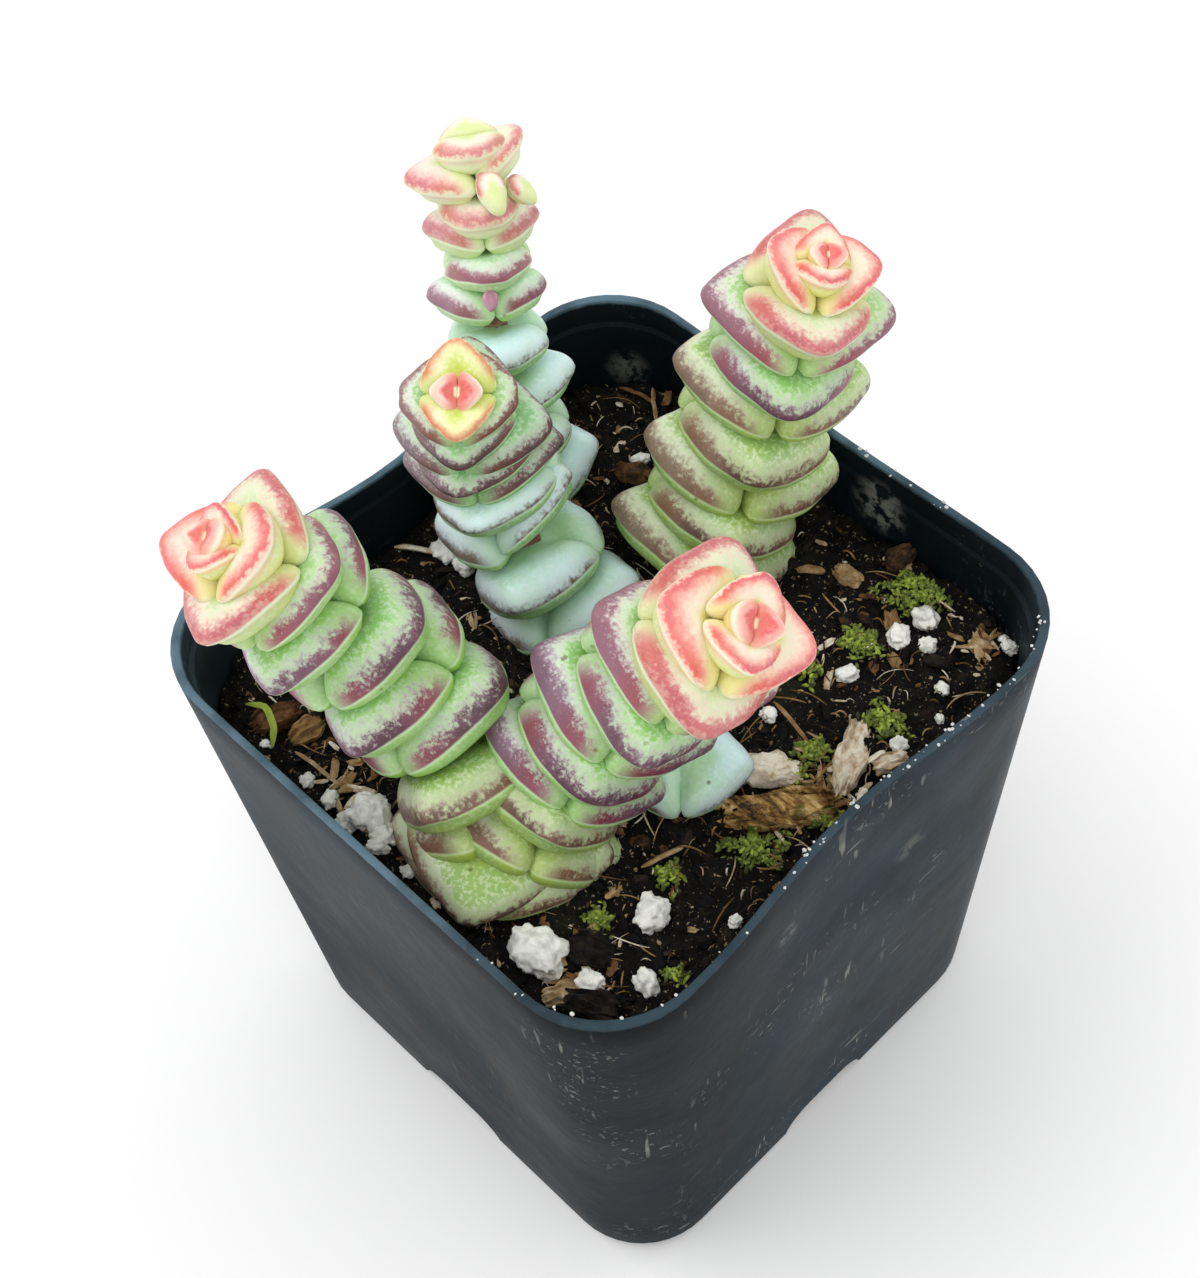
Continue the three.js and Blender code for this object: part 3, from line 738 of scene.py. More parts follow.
def bark_material():
    """Mossy bark chip: brown grain with green and straw patches."""
    paint = Paint("mossy_bark", 0.88)
    grain = paint.noise(820, 6, 0.7, ((0.16, 1, 1), (0, 0, -0.8)))
    base = paint.ramp(grain, [(0.36, "24170c"), (0.45, "8a6430"), (0.53, "cda765"), (0.62, "ecd7a2")])
    base = paint.blend(paint.patches(420, 4, 0.54, 0.66, 0, 0.75), base, "59601f")
    return paint.finish(base, (grain, 0.9, 0.0005))


def perlite_material(settings):
    """Chalky white grains with small pores and a little dirt."""
    paint = Paint(
        "perlite", 0.9, subsurface_weight=0.1, subsurface_radius=(0.001, 0.001, 0.001), subsurface_scale=1
    )
    grain = paint.noise(1100, 5)
    base = paint.blend(paint.step(grain, 0.3, 0.62), "d2d2cb", settings.perlite)
    base = paint.blend(paint.patches(420, 4, 0.6, 0.78, 0, 0.5), base, "a09478")
    return paint.finish(base, (paint.cells(1500), 0.55, 0.0003), (grain, 0.5, 0.0003))


def moss_material(settings):
    """Moss leaflets from dark to bright green."""
    paint = Paint("moss", 0.7)
    green = settings.moss
    grain = paint.noise(2200, 3)
    share = paint.sway(paint.value("shade"), grain, 0.6, use_clamp=True)
    base = paint.ramp(share, [(0.0, scaled(green, 0.08)), (0.5, scaled(green, 0.4)), (1.0, green)])
    return paint.finish(base, (grain, 0.4, 0.0002))


def stem_material(settings):
    """Brown bark of the bare stem, ringed and slightly fissured."""
    paint = Paint("stem_bark", 0.75)
    rings = paint.noise(700, 4, 0.6, ((0.4, 0.4, 2.2), (0, 0, 0)))
    base = paint.ramp(rings, [(0.3, scaled(settings.bark, 0.3)), (0.5, settings.bark), (0.72, "c79f86")])
    return paint.finish(base, (rings, 0.8, 0.0003))


def ageless(finish):
    """A leaf finish that is the same for young and old leaves."""
    return {kind: (value, value) for kind, value in finish.items()}


# Leaf colours of each kind of leaf, for young and for old ones. A colour left out is in the settings.
# start: where the band begins on the section. ragged: how uneven its inner edge is. blush: a flush of colour
# inside the band, also used as the painted sheen on the side facing the light.
LEAF_FINISHES = {
    "coral": {
        "dots": ("f3e9d6", "cce4be"), "wax": ("f6dfd2", "dde5da"), "band_dark": ("c84c5e", "4e2a39"),
        "lower": ("d5e2a4", "9cc77e"), "crease": ("dcd030", "84b52e"), "blush_and_sheen": ("f2a294", "9c8098"),
        "ends": ("d8552f", "96424a"), "start": (0.36, 0.74), "ragged": (0.55, 1.0),
    },
    "golden": {
        "upper": ("d2de7c", "8cbe84"), "dots": ("eeeeb4", "c2dec0"), "wax": ("f6f1d8", "dfe8da"),
        "band": ("dc7a50", "735355"), "band_dark": ("b8432c", "452c2e"), "lip": ("f3f1c4", "cfe6cc"),
        "lower": ("d0de68", "8abc76"), "crease": ("b4c81a", "76ae2c"), "blush_and_sheen": ("eeb084", "9f8c9c"),
        "ends": ("c8642c", "7c4c3c"), "start": (0.5, 0.7), "ragged": (0.6, 1.0),
    },
    "pale": {
        "upper": ("dfe8c4", "b9dfbc"), "dots": ("efe9d6", "dcefdc"), "wax": ("eee2d6", "ecf1ea"),
        "band": ("d8787c", "986474"), "band_dark": ("b84c5c", "703c4c"), "lip": ("e6ecc8", "dff0d4"),
        "lower": ("dfe9be", "b6dca4"), "crease": ("cfdf84", "9bcf58"), "blush_and_sheen": ("f0bcb6", "bea6b6"),
        "ends": ("c8703c", "905048"), "start": (0.46, 0.74), "ragged": (0.6, 0.6),
    },
    "bare": {
        "upper": ("dcf0e2", "d2f1f4"), "dots": ("f0f7f2", "e2f5f7"), "wax": ("f2f8f2", "e8f5f7"),
        "band": ("8c5a68", "7e6656"), "band_dark": ("643040", "4a3626"), "lip": ("e4f3dc", "d8efe0"),
        "lower": ("cfeab0", "98c682"), "crease": ("b5d84e", "a3cd78"), "blush_and_sheen": ("bfadc0", "b9c3ca"),
        "ends": ("8c5a48", "6e5838"), "start": (0.82, 0.86), "ragged": (0.4, 0.45),
    },
    "low": {
        "upper": ("c9dc8c", "94b868"), "dots": ("eef0c8", "d6e4b4"), "wax": ("eef0c8", "dbe6c8"),
        "band": ("9a6a50", "876456"), "band_dark": ("5f3a2c", "5a3e34"), "lip": ("dfeab5", "cfe0b0"),
        "lower": ("b8d27c", "97ba68"), "crease": ("c3cc3e", "a6ba34"), "blush_and_sheen": ("b9a58c", "b3a893"),
        "ends": ("9a6a30", "8a5c40"), "start": (0.8, 0.8), "ragged": (0.5, 0.8),
    },
    "bud": ageless({
        "upper": "dc6466", "dots": "ec9088", "wax": "f7ddcc", "band": "fbf0e2", "band_dark": "f6e2cc",
        "lip": "f3f0d0", "lower": "e4dc80", "crease": "dc7060", "blush_and_sheen": "f2b09c", "ends": "f2b09c",
        "start": 0.56, "ragged": 0.2, "all_round": True,
    }),
    "bump": ageless({
        "upper": "a77288", "dots": "b98a9c", "wax": "c9a6b2", "band": "a77288", "band_dark": "8d5a6e",
        "lip": "d3b8b0", "lower": "c3c49a", "crease": "a77288", "blush_and_sheen": "b98a9c", "ends": "b98a9c",
        "start": 0.7, "ragged": 0.3,
    }),
}
# What the mesh of a leaf carries at each point: its place on the section (0 middle, 1 rim,
# 2 underneath), millimetres along the rim, 0 at the tip and 1 at the rounded ends, age from
# 0 (young) to 1 (old), and 1 where it faces the light
LEAF_VALUES = ("section", "around", "flank", "age", "side")


def leaf_material(name, finish, settings):
    """Succulent leaf: green top, waxy speckle, red or mauve band on the rim, pale belly."""
    paint = Paint(
        name, 0.42, subsurface_weight=0.15, subsurface_radius=(0.001, 0.001, 0.0005), subsurface_scale=1,
        coat_weight=0.1, coat_roughness=0.35,
    )
    step, times, blend, sums = paint.step, paint.times, paint.blend, paint.sums
    section, around, flank, age, side = (paint.value(kind) for kind in LEAF_VALUES)

    def aged(kind):
        """Colour of one kind by age."""
        ages = ("young", "old")
        colours = finish.get(kind) or [getattr(settings, f"{stage}_{kind}") for stage in ages]
        return blend(step(age, 0.12, 0.62), *colours)

    blotch = paint.noise(260, 3)
    mottle = paint.noise(1000, 5, 0.65)
    dots = paint.noise(2700, 2, 0.5)
    along_rim = paint.add("CombineXYZ", {0: times(around, 1.5), 1: times(section, 4.0)})
    streak = paint.noise(1.0, 5, 0.65, place=along_rim)
    feather = times(sums("SUBTRACT", streak, 0.5), 0.2)
    for grain, share in ((mottle, 0.5), (dots, 0.45)):
        feather = paint.sway(feather, grain, share)
    feather = times(feather, step(age, 0.05, 0.5, *finish["ragged"]))
    ragged = sums("ADD", section, feather)
    lit = step(side, 0.15, 0.9)

    # Top: green with pale dots, yellower deep in the creases
    top = blend(times(step(blotch, 0.35, 0.7, 0, 0.4), age), aged("upper"), aged("crease"))
    top = blend(step(dots, 0.5, 0.6, 0, 0.5), top, aged("dots"))
    near_end = step(flank, 0.75, 1.1)
    glow = times(paint.most(near_end, step(section, 0.3, 0.06)), step(age, 0.0, 1.0, 0.7, 0.45))
    top = blend(glow, top, aged("crease"))

    # Pale waxy speckle outside the green, stronger towards the light
    band_start = step(age, 0.1, 0.6, *finish["start"])
    # On the side facing the light the band is painted to start a little further in
    band_start = sums("SUBTRACT", band_start, paint.between(lit, 0.0, 0.1))
    before_band = sums("SUBTRACT", ragged, band_start)
    waxy_at = step(before_band, -0.28, 0.0)
    wax = times(waxy_at, paint.between(lit, 0.4, 0.85), step(flank, 1.05, 0.7, 0.4, 1.0))
    top = blend(wax, top, aged("wax"))

    # Band along the rim: a blush, then the band, darker along its outer line. On the side facing the light
    # the blush is stronger and the band is painted paler with a painted sheen; the dark line is painted
    # darker on the side away from the light as painted shade.
    full_at = paint.between(step(age, 0.1, 0.5), 0.56, 0.22)
    ends = 1.0 if finish.get("all_round") else step(flank, 1.08, 0.88)
    blush_and_sheen = times(step(before_band, -0.12, full_at), ends, paint.between(lit, 0.6, 0.85))
    top = blend(blush_and_sheen, top, aged("blush_and_sheen"))
    # Painted sheen: the band turns towards the blush colour on the side facing the light
    band_colour = blend(times(lit, 0.35), aged("band"), aged("blush_and_sheen"))
    core = times(step(ragged, 0.56, 0.8), step(ragged, 0.98, 0.84))
    outer_line = step(ragged, 0.8, 1.0)
    line = sums("ADD", core, times(sums("SUBTRACT", outer_line, core), age))
    # Painted shade: the dark line is stronger on the side away from the light
    dark_share = times(line, step(blotch, 0.36, 0.6, 0.35, 1.0), paint.between(lit, 0.95, 0.6))
    band_colour = blend(dark_share, band_colour, aged("band_dark"))
    band_colour = blend(step(flank, 0.45, 0.95, 0, 0.6), band_colour, aged("ends"))
    flecks = times(step(dots, 0.6, 0.66, 0, 0.45), age, step(section, 1.0, 0.8))
    band_colour = blend(flecks, band_colour, aged("wax"))
    top = blend(times(step(before_band, 0.06, full_at), ends), top, band_colour)
    pale_rim = times(step(ragged, 0.88, 1.03), step(age, 0.5, 0.0, 0, 0.75))
    top = blend(pale_rim, top, aged("lip"))
    if finish.get("all_round"):
        back = times(step(flank, 1.3, 1.5), step(section, 0.35, 0.55))
        top = blend(back, top, aged("lip"))

    # Belly: a thin pale lip at the rim, then dotted green, yellow towards the creases
    belly = blend(step(dots, 0.48, 0.62, 0, 0.4), aged("lower"), aged("lip"))
    for yellow in (step(blotch, 0.4, 0.7, 0, 0.3), step(section, 1.2, 1.6, 0, 0.4), times(near_end, 0.65)):
        belly = blend(yellow, belly, aged("crease"))
    warm = times(step(section, 1.35, 1.0), step(age, 0.5, 0.0, 0, 0.75))
    belly = blend(warm, belly, aged("blush_and_sheen"))
    belly = blend(step(section, 1.15, 1.05, 0, 0.85), belly, aged("lip"))
    edge = paint.sway(section, mottle, 0.03)
    past = step(sums("SUBTRACT", edge, paint.between(age, 1.01, 1.06)), -0.03, 0.03)
    base = blend(past, top, belly)

    # A few brown blemishes on old leaves
    spots = times(step(paint.cells(300), 0.075, 0.03), step(age, 0.3, 0.9, 0, 0.65))
    base = blend(spots, base, "5b3a22")
    paint.set_up(roughness=step(mottle, 0.3, 0.7, 0.36, 0.52))
    return paint.finish(base, (dots, 0.2, 0.0001), (mottle, 0.3, 0.0002))


def floor_material(settings):
    """Plain pale floor."""
    paint = Paint("floor", 0.8)
    return paint.finish(paint.blend(paint.patches(12, 3, 0.4, 0.6, 0, 0.03), settings.floor, "e6e6e6"))


# Pot


def pot_half(settings, height, inset):
    """Half the pot's width at a height, moved inward, in metres."""
    rise = height / POT_HEIGHT
    return mix(settings.foot_width, settings.top_width, rise) / 2 - inset * MM


def bow_in(places, settings):
    """Bows the pot's sides inward as they rise."""
    places = places.copy()
    rise = np.clip(places[:, 2] / (POT_HEIGHT * MM), 0, 1)
    straight = STRAIGHT_SHARE * mix(settings.foot_width, settings.top_width, rise) / 2
    for (east, north), bow in RIM_BOWS:
        outward = places[:, 0] * east + places[:, 1] * north
        sideways = places[:, 0] * north - places[:, 1] * east
        wave = np.cos(np.clip(sideways / straight, -1, 1) * math.pi / 2) ** 2
        near = smooth_step(0, 0.012, outward)
        inward = bow * MM * rise**2 * wave * near
        places[:, 0] -= inward * east
        places[:, 1] -= inward * north
    return places


def soil_height(x, y):
    """Height of the soil at a place, all in millimetres."""
    half = TOP_HALF
    back = np.maximum(0, y) / half
    slope = SOIL_BACK_RISE * back + SOIL_CORNER_RISE * back * x / half
    fine = np.sin(x * FINE_WAVE[0] + FINE_SHIFT[0]) * np.sin(y * FINE_WAVE[1] + FINE_SHIFT[1])
    coarse = COARSE_SHARE * np.sin(x * COARSE_WAVE[0] + y * COARSE_WAVE[1])
    return SOIL_LEVEL + slope + SOIL_CRUMB * (fine + coarse)


class JADE_OT_pot(bpy.types.Operator):
    """Square nursery pot: a rounded foot drawn up into tapered walls, with four drain notches"""

    bl_idname = "jade.pot"
    bl_label = "Pot"

    def execute(self, context):
        settings = context.scene.jade_pot
        start_clean()
        bpy.ops.mesh.primitive_plane_add(size=settings.foot_width - 2 * BOTTOM_EDGE * MM)
        pot = name_new("pot_shell")
        bpy.ops.object.mode_set(mode="EDIT")
        bpy.ops.mesh.select_all(action="SELECT")
        corner = (FOOT_CORNER - BOTTOM_EDGE) * MM
        bpy.ops.mesh.bevel(affect="VERTICES", offset=corner, segments=CORNER_STEPS, offset_type="OFFSET")
        self.split_sides(pot)
        self.draw_walls(settings)
        bpy.ops.mesh.select_all(action="SELECT")
        bpy.ops.mesh.normals_make_consistent(inside=False)
        bpy.ops.object.mode_set(mode="OBJECT")
        self.cut_notches(pot, settings)
        set_corners(pot.data, bow_in(corners_of(pot.data), settings))
        finish_piece(pot, pot_material(settings), "pot", "pot", angle=32)
        return {"FINISHED"}

    def split_sides(self, pot):
        """Cuts the four long edges so that the sides can bow."""
        pick_edges(pot, lambda edge: edge.calc_length() > FOOT_CORNER * MM)
        bpy.ops.mesh.subdivide(number_cuts=SIDE_CUTS)
        bpy.ops.mesh.select_mode(type="FACE")
        bpy.ops.mesh.select_all(action="SELECT")

    def draw_walls(self, settings):
        """Extrudes the foot up, over the rim and down to the floor inside."""
        inside = POT_WALL + INNER_STEP
        above_notch = NOTCH_SIZE[2] + NOTCH_MARGIN
        # Height, and how far inward of the outer wall, in millimetres
        levels = [
            (BOTTOM_EDGE * 0.12, BOTTOM_EDGE * 0.55),
            (BOTTOM_EDGE * 0.4, BOTTOM_EDGE * 0.18),
            (BOTTOM_EDGE, 0),
            (above_notch, 0),
            *[(POT_HEIGHT * share, 0) for share in OUTER_RINGS],
            (POT_HEIGHT - RIM_EDGE, 0),
            (POT_HEIGHT - RIM_EDGE * 0.3, RIM_EDGE * 0.3),
            (POT_HEIGHT, RIM_EDGE),
            (POT_HEIGHT, POT_WALL - RIM_EDGE),
            (POT_HEIGHT - RIM_EDGE * 0.3, POT_WALL - RIM_EDGE * 0.3),
            (POT_HEIGHT - RIM_EDGE, POT_WALL),
            (POT_HEIGHT - STEP_DROP, POT_WALL),
            (POT_HEIGHT - STEP_DROP - INNER_STEP, inside),
            *[(POT_HEIGHT * share, inside) for share in INNER_RINGS],
            (above_notch, inside),
            (POT_FLOOR + BOTTOM_EDGE, inside),
            (POT_FLOOR, inside + BOTTOM_EDGE),
        ]
        height = 0
        half = pot_half(settings, 0, BOTTOM_EDGE)
        for next_height, inset in levels:
            rise = (next_height - height) * MM
            bpy.ops.mesh.extrude_region_move(TRANSFORM_OT_translate={"value": (0, 0, rise)})
            next_half = pot_half(settings, next_height, inset)
            share = next_half / half
            bpy.ops.transform.resize(value=(share, share, 1), center_override=(0, 0, 0))
            height = next_height
            half = next_half

    def cut_notches(self, pot, settings):
        """Cuts an arch at the foot of each side."""
        wide, deep, high = (size * MM for size in NOTCH_SIZE)
        start_clean()
        foot = (0, -settings.foot_width / 2, 0)
        bpy.ops.mesh.primitive_cube_add(size=1, location=foot, scale=(wide, deep, 2 * high))
        arch = name_new("notch_cutter")
        settle(arch)
        bpy.ops.object.mode_set(mode="EDIT")
        pick_edges(arch, lambda edge: self.is_upper_edge(edge, deep))
        bpy.ops.mesh.bevel(offset=NOTCH_ROUND * MM, segments=9)
        bpy.ops.object.mode_set(mode="OBJECT")
        places, faces = take_shape()
        arches = [(places @ rotation(side * math.pi / 2), faces, 0) for side in range(4)]
        cutter = gather("notch_cutters", arches)
        cut = pot.modifiers.new("notches", "BOOLEAN")
        cut.operation = "DIFFERENCE"
        cut.solver = "EXACT"
        cut.object = cutter
        take_up(pot)
        bpy.ops.object.modifier_apply(modifier=cut.name)
        bpy.data.objects.remove(cutter, do_unlink=True)

    def is_upper_edge(self, edge, deep):
        """Whether an edge runs through the wall at the top of the arch."""
        ends = [corner.co for corner in edge.verts]
        return abs(ends[0].y - ends[1].y) > deep / 2 and min(end.z for end in ends) > 0


class JADE_OT_rim_crust(bpy.types.Operator):
    """White mineral specks dried on the rim"""

    bl_idname = "jade.rim_crust"
    bl_label = "Rim crust"

    # Runs of specks on the rim: side direction, from and to along the side in millimetres, how many
    RUNS = [((1, 0), -27, 8, 60), ((0, -1), -24, -14, 8), ((0, 1), -12, 20, 14), ((1, 0), 12, 26, 5)]
    # Radius of a speck and how much it varies, and how far below the rim's top it may lie
    SPECK = 0.1
    SPECK_SPREAD = (0.5, 1.7)
    DEPTHS = (-0.1, 0.05)

    def execute(self, context):
        settings = context.scene.jade_pot
        dice = random.Random(11)
        start_clean()
        bpy.ops.mesh.primitive_ico_sphere_add(subdivisions=1, radius=1)
        places, faces = take_shape()
        half = pot_half(settings, POT_HEIGHT, 0) / MM
        copies = []
        for (east, north), low, high, count in self.RUNS:
            for _ in range(count):
                sideways = dice.uniform(low, high)
                size = self.SPECK * dice.uniform(*self.SPECK_SPREAD)
                outward = half - dice.uniform(0.05, POT_WALL + 0.15)
                x = outward * east + sideways * north
                y = outward * north - sideways * east
                x, y = self.round_corner(x, y, half)
                top = POT_HEIGHT + dice.uniform(*self.DEPTHS)
                centre = bow_in(np.array([[x, y, top]]) * MM, settings)
                stretch = spread_out(dice, (0.7, 1.6), (0.7, 1.6), (0.4, 0.8))
                copies.append((places * size * stretch * MM + centre, faces, 0))
        build_piece("rim_crust", copies, crust_material(), "pot")
        return {"FINISHED"}

    def round_corner(self, x, y, half):
        """Keeps a speck on the rounded corner of the rim."""
        corner = FOOT_CORNER * half / FOOT_HALF
        straight = half - corner
        if min(abs(x), abs(y)) > straight:
            inset = half - max(abs(x), abs(y))
            beyond = Vector((abs(x) - straight, abs(y) - straight)).normalized() * (corner - inset)
            x = math.copysign(straight + beyond.x, x)
            y = math.copysign(straight + beyond.y, y)
        return x, y


# Soil and the loose things on it


def rounded_square(share_x, share_y, half, corner):
    """Maps a point of the square from -1 to 1 into the pot's rounded square."""
    angle = np.arctan2(share_y, share_x)
    direction = np.stack([np.cos(angle), np.sin(angle)], axis=-1)
    square = 1 / np.maximum(np.abs(direction[..., 0]), np.abs(direction[..., 1]))
    wide = np.abs(direction).max(axis=-1)
    slim = np.abs(direction).min(axis=-1)
    middle = half - corner
    along = middle * (wide + slim)
    across = along**2 - (2 * middle**2 - corner**2)
    rounded = along + np.sqrt(np.maximum(across, 0))
    edge = np.where(half / wide * slim <= middle, half / wide, rounded)
    reach = np.hypot(share_x, share_y) / square
    return direction * (reach * edge)[..., None]


def inner_half(settings, height):
    """Half the width that the soil fills, in metres."""
    return pot_half(settings, height, POT_WALL + INNER_STEP + SOIL_GAP)


class JADE_OT_soil(bpy.types.Operator):
    """Soil: a fine grid shaped to the pot, roughened on top and drawn down to the floor"""

    bl_idname = "jade.soil"
    bl_label = "Soil"

    # Cells along each side of the grid
    CELLS = 170
    # Roughness of the top: millimetres and lumps per metre. Then how far its edge sinks.
    ROUGH = (0.75, 700)
    FINE_ROUGH = (0.3, 2300)
    EDGE_DROP = 0.5
    # How much the block is drawn in at its foot and underneath
    DRAW_IN = (0.985, 0.95)

    def execute(self, context):
        pot = context.scene.jade_pot
        start_clean()
        bpy.ops.mesh.primitive_grid_add(x_subdivisions=self.CELLS, y_subdivisions=self.CELLS, size=2)
        soil = name_new("soil_bed")
        flat = corners_of(soil.data)
        half = inner_half(pot, SOIL_LEVEL)
        corner = FOOT_CORNER * MM * half / (pot.foot_width / 2)
        spots = rounded_square(flat[:, 0], flat[:, 1], half, corner)
        size, lumps = self.ROUGH
        fine_size, fine_lumps = self.FINE_ROUGH
        rough = np.array([
            size * noise.fractal(Vector((x * lumps, y * lumps, 3)), 0.9, 2.1, 4)
            + fine_size * noise.noise(Vector((x * fine_lumps, y * fine_lumps, 9)))
            for x, y in spots
        ])
        sunken_edge = self.EDGE_DROP * smooth_step(0.96, 1, np.abs(flat[:, :2]).max(axis=1))
        height = soil_height(spots[:, 0] / MM, spots[:, 1] / MM) + rough - sunken_edge
        set_corners(soil.data, bow_in(np.column_stack([spots, height * MM]), pot))
        self.draw_down(pot)
        finish_piece(soil, soil_material(context.scene.jade_soil), "soil", "soil", angle=80)
        return {"FINISHED"}

    def draw_down(self, pot):
        """Extrudes the edge of the grid down the pot's inside and closes it underneath."""
        bpy.ops.object.mode_set(mode="EDIT")
        bpy.ops.mesh.select_all(action="SELECT")
        bpy.ops.mesh.region_to_loop()
        level = (SOIL_LEVEL - SOIL_SHOULDER) * MM
        edge = BOTTOM_EDGE * MM
        drop = (POT_FLOOR + SOIL_GAP) * MM + edge - level
        foot_share = inner_half(pot, POT_FLOOR) / inner_half(pot, SOIL_LEVEL) * self.DRAW_IN[0]
        bpy.ops.mesh.extrude_region_move(TRANSFORM_OT_translate={"value": (0, 0, 0)})
        bpy.ops.transform.resize(value=(1, 1, 0), center_override=(0, 0, level))
        for rise, share in ((drop, foot_share), (-edge, self.DRAW_IN[1])):
            bpy.ops.mesh.extrude_region_move(TRANSFORM_OT_translate={"value": (0, 0, rise)})
            bpy.ops.transform.resize(value=(share, share, 1), center_override=(0, 0, 0))
        bpy.ops.mesh.edge_face_add()
        bpy.ops.mesh.select_all(action="SELECT")
        bpy.ops.mesh.normals_make_consistent(inside=False)
        bpy.ops.object.mode_set(mode="OBJECT")


def on_soil(dice, pot, margin):
    """A random place on the soil in millimetres."""
    half = inner_half(pot, SOIL_LEVEL) / MM
    corner = FOOT_CORNER * half / FOOT_HALF
    shares = [np.array(dice.uniform(-1, 1)) for _ in range(2)]
    x, y = rounded_square(*shares, half - margin, corner - margin)
    return bow_in(np.array([[x, y, soil_height(x, y)]]) * MM, pot)[0] / MM


def above_soil(x, y, lift):
    """A place over the soil in millimetres."""
    return np.array([x, y, soil_height(x, y) + lift])


def spread_out(dice, *ranges):
    """Random sizes along each axis, each from its own range."""
    return np.array([dice.uniform(low, high) for low, high in ranges])


def lump_shape(subdivisions, rough, waves, seed):
    """Places and faces of a knobbly lump about 2 across, from an ico sphere."""
    bpy.ops.mesh.primitive_ico_sphere_add(subdivisions=subdivisions, radius=1)
    places, faces = take_shape()
    for i, place in enumerate(places):
        spot = Vector(place) * waves + Vector((seed, seed * 2, seed * 3))
        knob = noise.noise(spot) + 0.5 * noise.noise(spot * 2.3)
        places[i] = place * (1 + rough * knob)
    return places, faces


def turned(places, dice):
    """Turns a shape at random and leans it a little."""
    spin = rotation(dice.uniform(0, 2 * math.pi))
    lean = rotation(LOOSE_LEAN * dice.uniform(-math.pi, math.pi), "X")
    return places @ lean @ spin


class JADE_OT_crumbs(bpy.types.Operator):
    """Crumbs of soil, bark and peat strewn over the soil, some of them in the drain notches"""

    bl_idname = "jade.crumbs"
    bl_label = "Soil crumbs"

    # The share of large crumbs, then the sizes of large ones, small ones and chips in millimetres
    LARGE_SHARE = 0.24
    LARGE = (0.3, 0.75)
    SMALL = (0.1, 0.36)
    CHIP = (0.25, 0.7)
    # How many crumbs show in a notch, and how far from its middle
    IN_NOTCH = 26
    NOTCH_REACH = 4.4

    def execute(self, context):
        pot = context.scene.jade_pot
        settings = context.scene.jade_soil
        dice = random.Random(5)
        start_clean()
        large = [lump_shape(2, 0.55, 1.3, seed) for seed in range(4)]
        small = [lump_shape(1, 0.5, 1.3, seed) for seed in range(4)]
        copies = []
        for _ in range(settings.crumbs):
            is_large = dice.random() < self.LARGE_SHARE
            places, faces = dice.choice(large if is_large else small)
            size = dice.uniform(*(self.LARGE if is_large else self.SMALL))
            stretch = spread_out(dice, (0.8, 1.9), (0.4, 0.9), (0.2, 0.6))
            spot = on_soil(dice, pot, 0.4 + size)
            spot[2] += size * dice.uniform(0.0, 0.5)
            copies.append((self.place(places * stretch * size, spot, dice), faces, self.shade(dice)))
        for patch in DEBRIS:
            copies.extend(self.debris(large, dice, *patch))
        for side in range(4):
            copies.extend(self.notch_crumbs(small, side, pot, dice))
        build_piece("soil_crumbs", copies, litter_material("soil_litter", settings), "soil", angle=25)
        return {"FINISHED"}

    def place(self, places, spot, dice):
        """A crumb turned and set down, in metres."""
        return (turned(places, dice) + spot) * MM

    def shade(self, dice):
        """Mostly dark, seldom straw."""
        roll = dice.random()
        if roll < 0.7:
            return dice.uniform(0.0, 0.2)
        return dice.uniform(0.3, 0.6) if roll < 0.88 else dice.uniform(0.65, 1.0)

    def debris(self, shapes, dice, x, y, spread, count):
        """A patch of thin pale chips."""
        copies = []
        for _ in range(count):
            places, faces = dice.choice(shapes)
            east, north = (middle + dice.gauss(0, spread / 2) for middle in (x, y))
            size = dice.uniform(*self.CHIP)
            stretch = spread_out(dice, (1.0, 2.2), (0.25, 0.7), (0.15, 0.4))
            spot = above_soil(east, north, 0.3 + dice.uniform(0, 0.5))
            if max(abs(east), abs(north)) < SOIL_REACH - size:
                chip = self.place(places * stretch * size, spot, dice)
                copies.append((chip, faces, dice.uniform(0.5, 1.0)))
        return copies

    def notch_crumbs(self, shapes, side, pot, dice):
        """Soil that shows in a drain notch."""
        turn = rotation(side * math.pi / 2)
        copies = []
        for _ in range(self.IN_NOTCH):
            places, faces = dice.choice(shapes)
            size = dice.uniform(*self.LARGE)
            depth = pot_half(pot, POT_FLOOR, POT_WALL) / MM - dice.uniform(0.3, 1.2)
            sideways = dice.uniform(-self.NOTCH_REACH, self.NOTCH_REACH)
            spot = np.array([sideways, -depth, POT_FLOOR + dice.uniform(0.5, 2.1)]) @ turn
            copies.append((self.place(places * size, spot, dice), faces, self.shade(dice)))
        return copies


def follow(places, points, radii):
    """Bends a rod along points, with a radius for each, all in millimetres."""
    points = np.asarray(points, float)
    down = np.clip(places[:, 2], 0, 1) * (len(points) - 1)
    low = np.clip(down.astype(int), 0, len(points) - 2)
    part = (down - low)[:, None]
    centre = points[low] * (1 - part) + points[low + 1] * part
    heading = np.gradient(points, axis=0)
    heading /= np.linalg.norm(heading, axis=1, keepdims=True)
    ahead = heading[low] * (1 - part) + heading[low + 1] * part
    sideways = np.cross(ahead, (0.0, 0.0, 1.0))
    sideways /= np.maximum(np.linalg.norm(sideways, axis=1, keepdims=True), 1e-6)
    above = np.cross(sideways, ahead)
    radius = np.interp(down, np.arange(len(points)), radii)[:, None]
    return centre + radius * (places[:, :1] * sideways + places[:, 1:2] * above)


